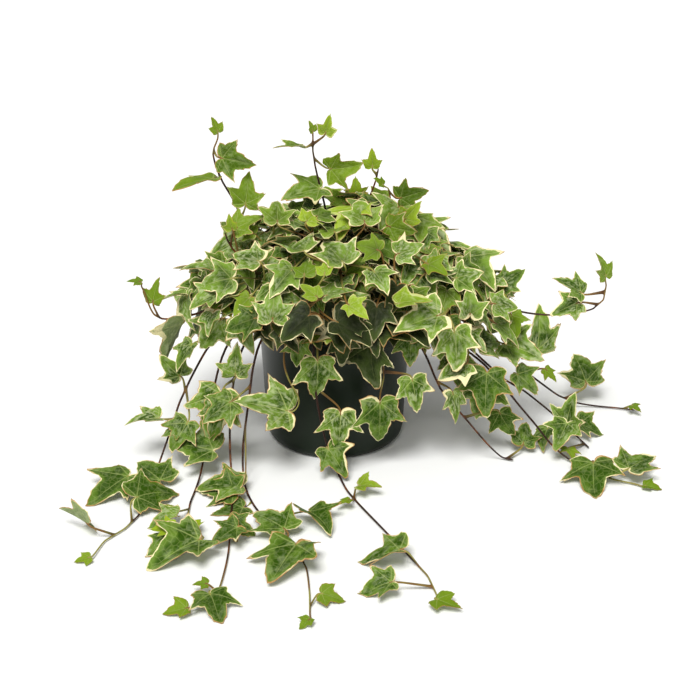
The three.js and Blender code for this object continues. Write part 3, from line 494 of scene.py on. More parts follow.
def leaf_greens(tree, place, marks, veins, net, settings):
    """Colour of the blade within its margin."""
    tone = marks["tone"]

    # Deep green in patches off the rim
    dark = add_node(tree, "TexNoise", patches(place, 8 * MM))
    dark = add_node(tree, "MapRange", {0: dark, 1: 0.3, 2: 0.6}, **STEP)
    inside = add_node(tree, "MapRange", {0: marks["edge"], 1: 0, 2: 0.2}, **STEP)
    dark = add_node(tree, "Math", {0: dark, 1: inside}, operation="MULTIPLY")
    depth = add_node(tree, "Math", {0: tone, 1: 0.75}, operation="MULTIPLY")
    depth = add_node(tree, "Math", {0: dark, 1: 0.85, 2: depth}, operation="MULTIPLY_ADD")
    body = add_node(tree, "Mix", {0: depth, 6: settings.fresh, 7: settings.deep}, 2, **COLOURS)

    # Grey streaks, which the greenest leaves hardly have, and pale veins
    greyed = add_node(tree, "TexNoise", patches(place, 12 * MM, 2))
    greyed = add_node(tree, "MapRange", {0: greyed, 1: 0.33, 2: 0.57, 3: 0.15, 4: 0.8}, **STEP)
    plain = add_node(tree, "MapRange", {0: tone, 3: 1, 4: 0.12}, **STEP)
    greyed = add_node(tree, "Math", {0: greyed, 1: plain}, operation="MULTIPLY")
    streak = streaks(tree, marks["across"], marks["along"], tone)
    streak = add_node(tree, "MapRange", {0: streak, 1: 0.43, 2: 0.66}, **STEP)
    streak = add_node(tree, "Math", {0: streak, 1: greyed}, operation="MULTIPLY")
    body = add_node(tree, "Mix", {0: streak, 6: body, 7: settings.grey}, 2, **COLOURS)
    pale = add_node(tree, "Math", {0: net, 1: 0.14}, operation="MULTIPLY")
    body = add_node(tree, "Mix", {0: pale, 6: body, 7: settings.vein_colour}, 2, **COLOURS)
    clear = add_node(tree, "MapRange", {0: tone, 3: 0.62, 4: 0.36}, **STEP)
    pale = add_node(tree, "Math", {0: veins, 1: clear}, operation="MULTIPLY")
    body = add_node(tree, "Mix", {0: pale, 6: body, 7: settings.vein_colour}, 2, **COLOURS)

    # Young leaves
    fresh = add_node(tree, "Mix", {0: marks["lime"], 6: settings.young, 7: settings.lime}, 2, **COLOURS)
    patch = add_node(tree, "Math", {0: dark, 1: 0.35}, operation="MULTIPLY")
    fresh = add_node(tree, "Mix", {0: patch, 6: fresh, 7: settings.fresh}, 2, **COLOURS)
    pale = add_node(tree, "Math", {0: veins, 1: 0.45}, operation="MULTIPLY")
    fresh = add_node(tree, "Mix", {0: pale, 6: fresh, 7: settings.vein_colour}, 2, **COLOURS)
    body = add_node(tree, "Mix", {0: marks["young"], 6: body, 7: fresh}, 2, **COLOURS)

    # The lower side is greyer, and shaded leaves are dark
    lower = add_node(tree, "Math", {0: marks["under"], 1: 0.4}, operation="MULTIPLY")
    body = add_node(tree, "Mix", {0: lower, 6: body, 7: settings.grey}, 2, **COLOURS)
    shaded = add_node(tree, "Math", {0: marks["shade"], 1: 0.92}, operation="MULTIPLY")
    return add_node(tree, "Mix", {0: shaded, 6: body, 7: settings.shade}, 2, **COLOURS)


def with_margin(tree, place, marks, body, settings):
    """The blade's colour with its margin, which is widest on pale leaves, broad here and there, hardly
    there on young ones, dull in the shade, and tan at the rim."""
    tone = marks["tone"]
    wide = add_node(tree, "TexNoise", patches(place, 16 * MM, 1))
    wide = add_node(tree, "MapRange", {0: wide, 1: 0.58, 2: 0.72, 3: 0, 4: 0.09}, **STEP)
    reach = add_node(tree, "TexNoise", patches(place, 3 * MM))
    reach = add_node(tree, "MapRange", {0: reach, 1: 0.38, 2: 0.7, 3: 0.004, 4: 0.036}, **STEP)
    reach = add_node(tree, "Math", {0: reach, 1: wide}, operation="ADD")
    narrow = add_node(tree, "MapRange", {0: tone, 3: 1, 4: 0.45}, **STEP)
    reach = add_node(tree, "Math", {0: reach, 1: narrow}, operation="MULTIPLY")
    end = add_node(tree, "Math", {0: reach, 1: 0.012}, operation="ADD")
    margin = add_node(tree, "MapRange", {0: marks["edge"], 1: reach, 2: end, 3: 1, 4: 0}, **STEP)
    grown = add_node(tree, "MapRange", {0: marks["young"], 3: 1, 4: 0.12}, **STEP)
    margin = add_node(tree, "Math", {0: margin, 1: grown}, operation="MULTIPLY")
    # Painted shade dulls the margin of a shaded leaf
    margin_shade = add_node(tree, "Math", {0: marks["shade"], 1: 0.72}, operation="MULTIPLY")
    cream = add_node(tree, "Mix", {0: margin_shade, 6: settings.cream, 7: settings.shade}, 2, **COLOURS)
    body = add_node(tree, "Mix", {0: margin, 6: body, 7: cream}, 2, **COLOURS)
    dry = add_node(tree, "TexNoise", patches(place, 12 * MM, 2))
    dry = add_node(tree, "MapRange", {0: dry, 1: 0.38, 2: 0.54, 3: 0, 4: 0.85}, **STEP)
    rim = add_node(tree, "MapRange", {0: tone, 3: 0.01, 4: 0.038})
    rim = add_node(tree, "MapRange", {0: marks["edge"], 1: 0, 2: rim, 3: 1, 4: 0}, **STEP)
    dry = add_node(tree, "Math", {0: dry, 1: rim}, operation="MULTIPLY")
    return add_node(tree, "Mix", {0: dry, 6: body, 7: settings.tan}, 2, **COLOURS)


def waxy_leaf(settings):
    """A variegated evergreen leaf under a thin wax: green, streaked with grey, with pale veins and an
    uneven cream margin that dries to a tan line. Young leaves are plain green or lime, and leaves in the
    shade are dark with a dull margin."""
    material, tree, shader, place = new_material("waxy_leaf")
    marks = {name: add_node(tree, "Attribute", {}, "Fac", attribute_name=name) for name in LEAF_MARKS}
    veins = vein_lines(tree, marks["across"], marks["along"])
    net = vein_net(tree, marks["across"], marks["along"], marks["tone"])
    body = leaf_greens(tree, place, marks, veins, net, settings)
    body = with_margin(tree, place, marks, body, settings)
    gloss = add_node(tree, "TexNoise", patches(place, 4 * MM))
    gloss = add_node(tree, "MapRange", {0: gloss, 1: 0.3, 2: 0.7, 3: 0.42, 4: 0.58}, **STEP)
    quilt = add_node(tree, "TexNoise", patches(place, 2.2 * MM, 2))
    quilt = add_node(tree, "Math", {0: net, 1: -0.4, 2: quilt}, operation="MULTIPLY_ADD")
    quilt = add_node(tree, "Math", {0: veins, 1: -0.6, 2: quilt}, operation="MULTIPLY_ADD")
    relief = add_node(tree, "Bump", {"Height": quilt, "Distance": 0.3 * MM})
    set_inputs(shader, {
        "Base Color": body, "Roughness": gloss, "IOR": 1.45, "Specular IOR Level": 0.08, "Normal": relief})
    return material


def matt_paper(settings):
    """White background paper, quite matt."""
    material, tree, shader, place = new_material("matt_paper")
    grain = add_node(tree, "TexNoise", patches(place, 40 * MM))
    grain = add_node(tree, "MapRange", {0: grain, 1: 0.3, 2: 0.7, 3: 0, 4: 0.04}, **STEP)
    sheet = add_node(tree, "Mix", {0: grain, 6: settings.paper, 7: settings.fibre}, 2, **COLOURS)
    set_inputs(shader, {"Base Color": sheet, "Roughness": 0.9, "Specular IOR Level": 0.1})
    return material


# Leaf patterns

# An outline is the right half of a blade, from the bay at the stalk to the tip, in blade lengths, with
# the notch at the origin. The rings of edges inside it are given as shares of its size.
BASAL_TIP = (0.44, -0.11)
SIDE_TIP = (0.64, 0.47)
FIVE_LOBES = [
    (0, -0.02), (0.06, -0.12), (0.17, -0.175), (0.3, -0.165), BASAL_TIP, (0.435, 0.0), (0.41, 0.11),
    (0.49, 0.24), (0.57, 0.36), SIDE_TIP, (0.52, 0.465), (0.38, 0.43), (0.27, 0.45), (0.25, 0.57),
    (0.19, 0.73), (0.1, 0.88), (0, 1),
]
THREE_LOBES = [
    (0, -0.02), (0.06, -0.1), (0.17, -0.14), (0.29, -0.125), (0.38, -0.07), (0.43, 0.06), (0.47, 0.18),
    (0.52, 0.3), (0.56, 0.42), (0.46, 0.42), (0.34, 0.42), (0.235, 0.45), (0.22, 0.57), (0.17, 0.73),
    (0.09, 0.88), (0, 1),
]
RING_SHARES = [1, 0.965, 0.9, 0.78, 0.6, 0.4, 0.2]
COARSE_SHARES = [1, 0.9, 0.55]
PATTERNS = {}


def distance_to_outline(u, v, outline):
    """How far a point of the blade is from its rim."""
    best = 1.0
    for (a, b), (c, d) in zip(outline, outline[1:] + outline[:1]):
        du, dv = c - a, d - b
        share = max(0.0, min(1.0, ((u - a) * du + (v - b) * dv) / (du * du + dv * dv)))
        best = min(best, math.hypot(u - a - share * du, v - b - share * dv))
    return best


def with_middles(half):
    """The outline with another point in the middle of each of its lines."""
    middles = [((a + c) / 2, (b + d) / 2) for (a, b), (c, d) in zip(half, half[1:])]
    return [point for pair in zip(half, middles) for point in pair] + half[-1:]


def make_pattern(name, half, shares, thickness):
    """A flat blade: a ring of edges in the shape of the outline is extruded inwards to the notch."""
    outline = half + [(-u, v) for u, v in reversed(half[1:-1])]
    bpy.ops.object.select_all(action="DESELECT")
    bpy.ops.mesh.primitive_circle_add(vertices=len(outline), radius=1, fill_type="NOTHING")
    obj = bpy.context.object
    obj.name = name
    for vertex, (u, v) in zip(obj.data.vertices, outline):
        vertex.co = (u, v, 0)
    bpy.ops.object.mode_set(mode="EDIT")
    bpy.ops.mesh.select_mode(type="EDGE")
    bpy.ops.mesh.select_all(action="SELECT")
    for before, share in zip(shares, shares[1:] + [0]):
        bpy.ops.mesh.extrude_edges_move()
        bpy.ops.transform.resize(value=(share / before,) * 3, center_override=(0, 0, 0))
    bpy.ops.mesh.select_all(action="SELECT")
    bpy.ops.mesh.remove_doubles(threshold=1e-5)
    bpy.ops.mesh.normals_make_consistent(inside=False)
    end_edit()
    if sum(face.normal.z for face in obj.data.polygons) < 0:
        obj.data.flip_normals()
    add_modifier(obj, "SOLIDIFY", thickness=thickness, offset=-1)
    tips = {(0, 1)} | {(side * u, v) for side in (-1, 1) for u, v in (SIDE_TIP, BASAL_TIP)}
    values = {"across": [], "along": [], "edge": [], "under": [], "share": [], "spoke": [], "vein": []}
    for vertex in obj.data.vertices:
        u, v, w = vertex.co
        length_out = math.hypot(u, v)
        spoke = max(outline, key=lambda p: (u * p[0] + v * p[1]) / math.hypot(*p))
        values["across"].append(u)
        values["along"].append(v)
        values["edge"].append(distance_to_outline(u, v, outline))
        values["under"].append(float(w < -thickness / 2))
        values["share"].append(length_out / math.hypot(*spoke))
        values["spoke"].append(outline.index(spoke))
        values["vein"].append(float(spoke in tips))
    for key in ("across", "along", "edge", "under"):
        layer = obj.data.attributes.new(key, "FLOAT", "POINT")
        layer.data.foreach_set("value", values[key])
    obj.data.update()
    PATTERNS[name] = (obj, {key: np.array(each) for key, each in values.items()})


class IVY_OT_leaf_patterns(bpy.types.Operator):
    """Model the flat leaf patterns that every leaf is a copy of"""

    bl_idname = "ivy.leaf_patterns"
    bl_label = "Leaf Patterns"

    def execute(self, context):
        thickness = context.scene.ivy_leaves.thickness
        for name, half in (("five lobes", FIVE_LOBES), ("three lobes", THREE_LOBES)):
            make_pattern(name, half, RING_SHARES, thickness)
            make_pattern(name + ", jagged", with_middles(half), RING_SHARES, thickness)
            make_pattern(name + ", coarse", half, COARSE_SHARES, thickness)
        return {"FINISHED"}


# Leaves

# A leaf departs from its flat pattern by draws from these ranges. Fold and droop are shares of the packed
# blade's own, and the others are in blade lengths.
FOLD = (0.6, 2.2)
DROOP = (0.8, 2.2)
CUP = (-0.4, 0.15)  # rise towards the sides
TWIST = (-0.3, 0.3)  # rise to the right and fall to the left, more so towards the tip
NOD = (-0.1, 0.35)  # fall of the half at the tip
SKEW = (-0.1, 0.1)  # widening of one side, and bend of the whole to it
WAVES = (0.4, 1.3)  # shares of the setting
WAVE_COUNTS = (3, 4, 5)


def grow_leaf(pattern, pose, look, settings, draws):
    """A copy of a pattern, bent and set in its place."""
    obj, values = PATTERNS[pattern]
    notch, right, forward, up, size = pose
    turn = Quaternion(forward, draws.gauss(0, settings.tilt)) @ Quaternion(
        right, draws.gauss(0, settings.tilt / 2))
    right, forward, up = (turn @ way for way in (right, forward, up))
    mesh = obj.data.copy()
    share = values["share"]
    spokes = int(values["spoke"].max()) + 1
    jags = np.array([draws.uniform(-1, 1) for _ in range(spokes)]) * settings.jag
    rim = 1 + jags[values["spoke"]] * share ** 3
    u, v = values["across"] * rim, values["along"] * rim
    around = np.arctan2(u, v)
    lift = FRAME_FOLD * draws.uniform(*FOLD) * np.abs(u)
    lift -= FRAME_DROOP * draws.uniform(*DROOP) * v * v
    lift += draws.uniform(*CUP) * u * u
    lift += draws.uniform(*TWIST) * u * v
    lift -= draws.uniform(*NOD) * np.maximum(0, v - 0.5) ** 2
    lift += settings.wave * draws.uniform(*WAVES) * share ** 2 * np.sin(
        draws.choice(WAVE_COUNTS) * around + draws.uniform(0, 2 * math.pi))
    lift -= settings.vein * values["vein"] * 4 * share * (1 - share)
    across = u * (1 + draws.uniform(*SKEW) * np.sign(u)) + draws.uniform(*SKEW) * v * np.abs(v)
    places = np.array(notch) + size * (
        np.outer(across, np.array(right)) + np.outer(v, np.array(forward)) + np.outer(lift, np.array(up)))
    places[:, 2] += np.maximum(0, FLOOR_GAP - places[:, 2])
    places -= np.outer(values["under"] * settings.thickness * size, np.array(up))
    mesh.vertices.foreach_set("co", places.ravel())
    # Painted shade: darker towards the notch, where other leaves lie over the blade
    shaded = look["shade"] + look["cover"] * (1 - share) ** 1.5
    for name, value in (*look.items(), ("shade", np.clip(shaded, 0, 1))):
        if name != "cover":
            write_attribute(mesh, name, value)
    return linked("leaf", mesh)


def write_attribute(mesh, name, value):
    """One value, or one for each vertex, as an attribute of the mesh."""
    layer = mesh.attributes.get(name) or mesh.attributes.new(name, "FLOAT", "POINT")
    layer.data.foreach_set("value", np.broadcast_to(value, len(mesh.vertices)).astype(np.float32))


def turned_up(ways, angle):
    """The directions of a blade when its face is turned towards the sky by an angle."""
    sky = Vector((0, 0, 1))
    axis = ways[-1].cross(sky)
    if axis.length < 0.01:
        return ways
    turn = Quaternion(axis.normalized(), min(angle, ways[-1].angle(sky)))
    return [turn @ way for way in ways]


def view_ways(stage):
    """The way that the camera looks, and the way that is up in its picture."""
    down = stage.elevation
    return Vector((0, math.cos(down), -math.sin(down))), Vector((0, math.sin(down), math.cos(down)))


def photo_pixel(place, stage):
    """Where a place shows in the photograph."""
    towards, above = view_ways(stage)
    offset = place - Vector(stage.aim)
    scale = stage.lens / SENSOR * PHOTO_SIDE / (stage.distance + offset.dot(towards))
    return PHOTO_SIDE / 2 + offset.x * scale, PHOTO_SIDE / 2 - offset.dot(above) * scale


def behind_pixel(pixel, place, facing, stage):
    """Where the line of sight through a pixel meets the plane through a place that faces this way."""
    towards, above = view_ways(stage)
    eye = Vector(stage.aim) - towards * stage.distance
    scale = stage.lens / SENSOR * PHOTO_SIDE
    way = towards + Vector((1, 0, 0)) * ((pixel[0] - PHOTO_SIDE / 2) / scale)
    way -= above * ((pixel[1] - PHOTO_SIDE / 2) / scale)
    return eye + way * ((place - eye).dot(facing) / way.dot(facing))


def middle_of(pose):
    return pose.notch + pose.forward * pose.size * MIDDLE


def frontmost(blades, pixels, stage):
    """The numbers of the blades that the photograph shows at these pixels."""
    found = set()
    places = [middle_of(pose) for _, pose, _ in blades]
    seen = np.array([photo_pixel(place, stage) for place in places])
    for pixel in pixels:
        near = np.flatnonzero(np.hypot(*(seen - np.array(pixel)).T) < PICK_REACH)
        if len(near):
            found.add(min(near, key=lambda i: places[i].y - NEARER_BY_HEIGHT * places[i].z))
    return found


def leaf_look(pose, crown, lime, dark, draws):
    """How young, lime, deep green and shaded a leaf is, and how much painted shade darkens it towards its
    notch, where others lie over it.
    """
    height = middle_of(pose).z / POT_HEIGHT
    look = {"young": 0, "lime": 0, "tone": draws.uniform(0, 1) ** 2, "shade": draws.uniform(0, 0.12)}
    # Crown leaves get painted shade towards the notch
    look["cover"] = draws.uniform(0.2, 0.8) if crown else 0
    if crown and height > PALE_CROWN:
        look["tone"] *= 0.35
    elif height < ON_FLOOR:
        look["tone"] = 0.6 + 0.4 * look["tone"]
    elif not crown:
        look["tone"] = (0.5 if height > SHOOTS else 0.2) + 0.5 * look["tone"]
    if lime:
        look.update(young=draws.uniform(0.6, 0.85), lime=draws.uniform(0.4, 1), shade=0, cover=0.15)
    elif pose.size < YOUNG_SIZE:
        look.update(young=draws.uniform(0.7, 0.95), lime=draws.uniform(0, 0.4))
    elif height > SHOOTS:
        look.update(young=draws.uniform(0.1, 0.7), lime=draws.uniform(0, 0.4))
    elif dark:
        look.update(shade=draws.uniform(0.78, 0.95))
    return look


# Leafy stems

STALK_RINGS = 5  # rings of corners along a stalk
JOINT_EDGES = 5  # edges at a corner where a stalk leaves the stem
JOINT_SPACE = 4.5 * MM  # longest edge beside such a corner
STALK_TAPER = 0.7  # what is left of a stalk's width under the blade
PLANT_FEET = ("crown", "upright")  # stems that the crown's added leaves grow from


def same_way(a, b):
    return abs(a.dot(b)) > 0.9995


def find_blades(bm):
    """The blades of a packed leafy stem, each with its corners. A blade is a plate of one thickness:
    the edges between its upper and its lower corners are parallel, and as long as it is thick."""
    uprights = {}
    for edge in bm.edges:
        if abs(edge.calc_length() - FRAME_BLADE) < FRAME_TOLERANCE:
            for vertex in edge.verts:
                uprights[vertex] = edge
    blades = []
    seen = set()
    for vertex, edge in uprights.items():
        if edge in seen:
            continue
        way = (edge.verts[0].co - edge.verts[1].co).normalized()
        plate, waiting = [], [edge]
        seen.add(edge)
        while waiting:
            upright = waiting.pop()
            plate.append(upright)
            for corner in upright.verts:
                for link in corner.link_edges:
                    near = uprights.get(link.other_vert(corner))
                    if near and near not in seen and same_way(
                            (near.verts[0].co - near.verts[1].co).normalized(), way):
                        seen.add(near)
                        waiting.append(near)
        if len(plate) in FRAME_CORNERS:
            blades.append(read_blade(plate, way))
    return blades


def read_blade(plate, way):
    """Notch, right, forward, up and length of a blade, from its corners."""
    sides = [[max(e.verts, key=lambda v: s * v.co.dot(way)).co.copy() for e in plate] for s in (1, -1)]
    near = {}
    for s, corners in zip((1, -1), sides):
        pairs = [(a, b) for i, a in enumerate(corners) for b in corners[:i]]
        near[s] = min(pairs, key=lambda p: abs((p[0] - p[1]).length - FRAME_MIDRIB))
    notch = (near[1][0] + near[1][1]) / 2
    tip = max(sides[0], key=lambda c: (c - notch).length)
    forward = (tip - notch).normalized()
    lobe = max(sides[0], key=lambda c: (c - notch).cross(forward).length)
    sign = 1 if (lobe - notch).dot(way) > 0 else -1
    up = way * sign
    top = sides[0] if sign > 0 else sides[1]
    notch = (near[sign][0] + near[sign][1]) / 2
    tip = max(top, key=lambda c: (c - notch).length)
    level = (tip - notch) - up * (tip - notch).dot(up)
    forward = level.normalized()
    vertices = {v for edge in plate for v in edge.verts}
    pose = Pose(notch, forward.cross(up), forward, up, level.length)
    return {"pose": pose, "pattern": FRAME_CORNERS[len(plate)], "vertices": vertices}


def round_stem(node, settings):
    """The stem and stalks of a packed leafy stem as a rounded mesh, and the blades that it carried."""
    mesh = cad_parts[node].data.copy()
    mesh.materials.clear()
    obj = linked(node + "_foliage", mesh)
    start_edit(obj)
    blades = cut_blades(mesh)
    draw_out_stalks(mesh, blades, settings.stalk_end)
    bpy.ops.mesh.select_all(action="SELECT")
    bpy.ops.mesh.fill_holes(sides=4)
    bpy.ops.mesh.select_all(action="SELECT")
    bpy.ops.mesh.tris_convert_to_quads(face_threshold=math.radians(70), shape_threshold=math.radians(80))
    colour_stalks(mesh)
    tighten_joints(mesh)
    end_edit()
    add_modifier(obj, "SUBSURF", levels=2, render_levels=2)
    add_modifier(obj, "DISPLACE", strength=settings.swelling, mid_level=0)
    for vertex in obj.data.vertices:
        vertex.co.z = max(vertex.co.z, STEM_GAP)
    return obj, [(blade["pose"], blade["pattern"]) for blade in blades]


def cut_blades(mesh):
    """Takes the blades off a packed leafy stem and returns them."""
    bpy.ops.mesh.select_mode(type="FACE")
    bpy.ops.mesh.select_all(action="SELECT")
    bpy.ops.mesh.remove_doubles(threshold=0.01 * MM)
    bpy.ops.mesh.select_all(action="DESELECT")
    bm = bmesh.from_edit_mesh(mesh)
    blades = find_blades(bm)
    owner = {vertex: i for i, blade in enumerate(blades) for vertex in blade["vertices"]}
    for face in bm.faces:
        owners = {owner.get(vertex) for vertex in face.verts}
        face.select_set(len(owners) == 1 and None not in owners)
    bmesh.update_edit_mesh(mesh)
    bpy.ops.mesh.delete(type="FACE")
    return blades


def draw_out_stalks(mesh, blades, end):
    """Draws the stalks out under their blades, without which each ends in an open ring at its notch."""
    bm = bmesh.from_edit_mesh(mesh)
    stalk = bm.verts.layers.float.new("stalk")
    for vertex in [v for v in bm.verts if v.is_boundary]:
        for link in vertex.link_edges:
            other = link.other_vert(vertex)
            other[stalk] = max(other[stalk], 0.8)
    for vertex in [v for v in bm.verts if v.is_boundary]:
        vertex[stalk] = 1
    bmesh.update_edit_mesh(mesh)
    bpy.ops.mesh.select_mode(type="EDGE")
    bpy.ops.mesh.select_all(action="DESELECT")
    bpy.ops.mesh.select_non_manifold(
        extend=False, use_wire=False, use_boundary=True, use_multi_face=False, use_non_contiguous=False,
        use_verts=False)
    bpy.ops.mesh.extrude_edges_move()
    bm = bmesh.from_edit_mesh(mesh)
    for vertex in [v for v in bm.verts if v.select]:
        pose = min((blade["pose"] for blade in blades), key=lambda pose: (pose.notch - vertex.co).length)
        centre = pose.notch - pose.up * FRAME_BLADE * 0.6
        vertex.co = centre + (vertex.co - centre) * STALK_TAPER + pose.forward * end
    bmesh.update_edit_mesh(mesh)


def colour_stalks(mesh):
    """Carries the stalks' colour from the notches down to the corners where the stalks leave the stem."""
    bm = bmesh.from_edit_mesh(mesh)
    stalk = bm.verts.layers.float["stalk"]
    front = [v for v in bm.verts if v[stalk] > 0]
    for _ in range(STALK_RINGS):
        near = {edge.other_vert(v) for v in front for edge in v.link_edges}
        front = [v for v in near if not v[stalk]]
        for vertex in front:
            vertex[stalk] = 0.9 if len(vertex.link_edges) < JOINT_EDGES else 0.3
        front = [v for v in front if len(v.link_edges) < JOINT_EDGES]
    bmesh.update_edit_mesh(mesh)


def tighten_joints(mesh):
    """Cuts the long faces beside each joint of stem and stalk, so that the joint keeps its size when the
    stem is rounded."""
    bpy.ops.mesh.select_mode(type="EDGE")
    for _ in range(3):
        bpy.ops.mesh.select_all(action="DESELECT")
        bm = bmesh.from_edit_mesh(mesh)
        for edge in bm.edges:
            joints = sum(len(vertex.link_edges) >= JOINT_EDGES for vertex in edge.verts)
            if joints and edge.calc_length() > JOINT_SPACE:
                edge.select_set(True)
        bmesh.update_edit_mesh(mesh)
        bpy.ops.mesh.loop_multi_select(ring=True)
        bpy.ops.mesh.subdivide(number_cuts=1)


class IVY_OT_leafy_stems(bpy.types.Operator):
    """Grow every leafy stem of the frame again, with round stems and fine leaves"""

    bl_idname = "ivy.leafy_stems"
    bl_label = "Leafy Stems"

    def execute(self, context):
        scene = context.scene
        bark = ivy_bark(scene.ivy_stems)
        wax = waxy_leaf(scene.ivy_leaves)
        for obj, _ in PATTERNS.values():
            obj.data.materials.append(wax)
        stalk = make_stalk_pattern()
        stalk.data.materials.append(bark)
        grown = {}
        blades = []
        for node in LEAFY_NODES:
            stem, found = round_stem(node, scene.ivy_stems)
            stem.data.materials.append(bark)
            grown[node] = [stem]
            blades += [(node, pose, pattern) for pose, pattern in found]
        self.add_packed_leaves(grown, blades, scene)
        self.add_crown_leaves(grown, scene, stalk)
        self.add_photo_leaves(grown, scene, stalk)
        for node, pieces in grown.items():
            piece = joined(pieces, node + "_foliage")
            select_only(piece)
            bpy.ops.object.shade_smooth_by_angle(angle=math.radians(50))
            finish_piece(piece, "ivy", node)
        for obj in [stalk] + [obj for obj, _ in PATTERNS.values()]:
            bpy.data.objects.remove(obj)
        return {"FINISHED"}

    def add_packed_leaves(self, grown, blades, scene):
        """A leaf in the place of each packed blade."""
        settings = scene.ivy_leaves
        lime = frontmost(blades, LIME_PIXELS, scene.ivy_stage)
        dark = frontmost(blades, DARK_PIXELS, scene.ivy_stage)
        draws = random.Random(1)
        for i, (node, (notch, right, forward, up, size), pattern) in enumerate(blades):
            notch = notch - up * FRAME_BLADE / 3
            if pattern == "three lobes" and size > LOBED_SIZE:
                pattern = draws.choice(("five lobes", "five lobes", "three lobes"))
            crown = node.startswith("crown")
            if crown:
                right, forward, up = turned_up((right, forward, up), settings.upturn)
            else:
                pattern += ", jagged"
            pose = Pose(notch, right, forward, up, size)
            look = leaf_look(pose, crown, i in lime, i in dark, draws)
            grown[node].append(grow_leaf(pattern, pose, look, settings, draws))

    def add_crown_leaves(self, grown, scene, stalk):
        """More leaves in the crown, evenly spread, each on a stalk from the nearest stem: small ones
        between the large leaves, and plain ones further in, dark with painted shade."""
        settings = scene.ivy_leaves
        crown = [node for node in LEAFY_NODES if node.startswith(PLANT_FEET)]
        places = [(node, v.co.copy()) for node in crown for v in grown[node][0].data.vertices]
        tree = KDTree(len(places))
        for i, (_, place) in enumerate(places):
            tree.insert(place, i)
        tree.balance()
        draws = random.Random(77)
        layers = (
            (settings.outer, OUTER_REACH, ("three lobes", "five lobes")),
            (settings.inner, INNER_REACH, ("five lobes, coarse", "three lobes, coarse")),
        )
        for leaves, reaches, patterns in layers:
            for i in range(leaves):
                climb = math.asin(LOWEST_CLIMB + CLIMB_SPAN * (i + 0.5) / leaves)
                reach = draws.uniform(*reaches)
                place, out = crown_place(i * GOLDEN_ANGLE + 2 * reaches[0], climb, reach)
                if not clear_of_pot(place):
                    continue
                pose = loose_pose(place, out, settings, draws)
                behind = pose.notch - pose.forward * 6 * MM - out * 10 * MM
                foot, nearest, away = tree.find(behind)
                if away > LONGEST_STALK:
                    continue
                # Painted shade: darker deeper in the crown, lower down, and behind the shaded leaves in
                # front
                shade = shade_in_crown(place, reach, out, scene.ivy_stage)
                look = {
                    "young": max(0, draws.uniform(-1, 0.6)), "lime": draws.uniform(0, 0.5),
                    "tone": draws.uniform(0, 0.8), "shade": shade, "cover": 0.5}
                grown[places[nearest][0]] += [
                    grow_leaf(draws.choice(patterns), pose, look, settings, draws),
                    grow_stalk(stalk, foot, pose)]

    def add_photo_leaves(self, grown, scene, stalk):
        """The rest of the leaves that the photograph shows, each on a stalk from the stem behind it."""
        stage = scene.ivy_stage
        stems = [node for node in LEAFY_NODES if not node.startswith("crown")]
        feet = [(node, v.co.copy()) for node in stems for v in grown[node][0].data.vertices]
        seen = np.array([photo_pixel(place, stage) for _, place in feet])
        draws = random.Random(9)
        for notch_pixel, tip_pixel, lime in MORE_LEAVES:
            away = np.hypot(*(seen - np.array(notch_pixel)).T)
            node, foot = feet[int(away.argmin())]
            notch = behind_pixel(notch_pixel, foot, Vector((0, -1, 0)), stage) + STALK_OFFSET
            facing = LYING if foot.z < LYING_HEIGHT else HANGING
            notch = behind_pixel(notch_pixel, notch, facing, stage)
            tip = behind_pixel(tip_pixel, notch, facing, stage)
            forward = (tip - notch).normalized()
            up = (facing - forward * facing.dot(forward)).normalized()
            pose = Pose(notch, forward.cross(up), forward, up, (tip - notch).length)
            look = {
                "young": float(lime > 0.5), "lime": lime, "tone": draws.uniform(0.3, 0.9), "shade": 0.05,
                "cover": 0}
            grown[node] += [
                grow_leaf("five lobes, jagged", pose, look, scene.ivy_leaves, draws),
                grow_stalk(stalk, foot, pose)]


def crown_place(turn, climb, size):
    """A place on a smaller copy of the crown, and the way out of it."""
    flat, up = math.cos(climb), max(0, math.sin(climb))
    reach = (flat ** CROWN_PEAK + up ** CROWN_PEAK) ** (-1 / CROWN_PEAK) if up else 1
    way = Vector((flat * math.cos(turn), flat * math.sin(turn), math.sin(climb)))
    place = CROWN_CENTRE + Vector([way[k] * CROWN_AXES[k] * reach * size for k in range(3)])
    return place, way


def clear_of_pot(place):
    """Whether a leaf of the crown may lie here: over or beside the pot, and not low in front of it."""
    over_pot = math.hypot(place.x, place.y) < RIM_RADIUS * CLEAR_OF_RIM
    if place.z < POT_HEIGHT * LOWEST_LEAF or over_pot and place.z < POT_HEIGHT:
        return False
    return place.y >= 0 or place.z >= POT_HEIGHT * LOWEST_IN_FRONT


def loose_pose(place, out, settings, draws):
    """The pose of a leaf with its middle here in the crown."""
    up = out * OUTWARD + SKYWARD + Vector([draws.uniform(-SCATTER, SCATTER) for _ in range(3)])
    up.normalize()
    down = (up * up.z - Vector((0, 0, 1))).normalized()
    around = draws.uniform(-SWING, SWING)
    forward = (down * math.cos(around) + up.cross(down) * math.sin(around)).normalized()
    size = draws.uniform(settings.smallest, settings.largest)
    return Pose(place - forward * size * MIDDLE, forward.cross(up), forward, up, size)


def shade_in_crown(place, reach, out, stage):
    """How dark it is here in the crown. It is darkest inside, below, and behind the shaded leaves."""
    shade = max(0, (FULL_LIGHT - reach) / DARKENING) * (1 - SKY_LIGHT * max(0, out.z))
    pixel = photo_pixel(place, stage)
    if place.y < 0 and min(math.dist(pixel, dark) for dark in DARK_PIXELS) < SHADE_REACH:
        shade = max(shade, SHADED)
    return min(0.95, shade)


STALK_STEPS = 6
STALK_FOOT_RADIUS = 0.75 * MM
STALK_TOP_RADIUS = 0.5 * MM
ASKEW = Vector((0.3, 0.5, 0.81))  # a way that no stalk runs along


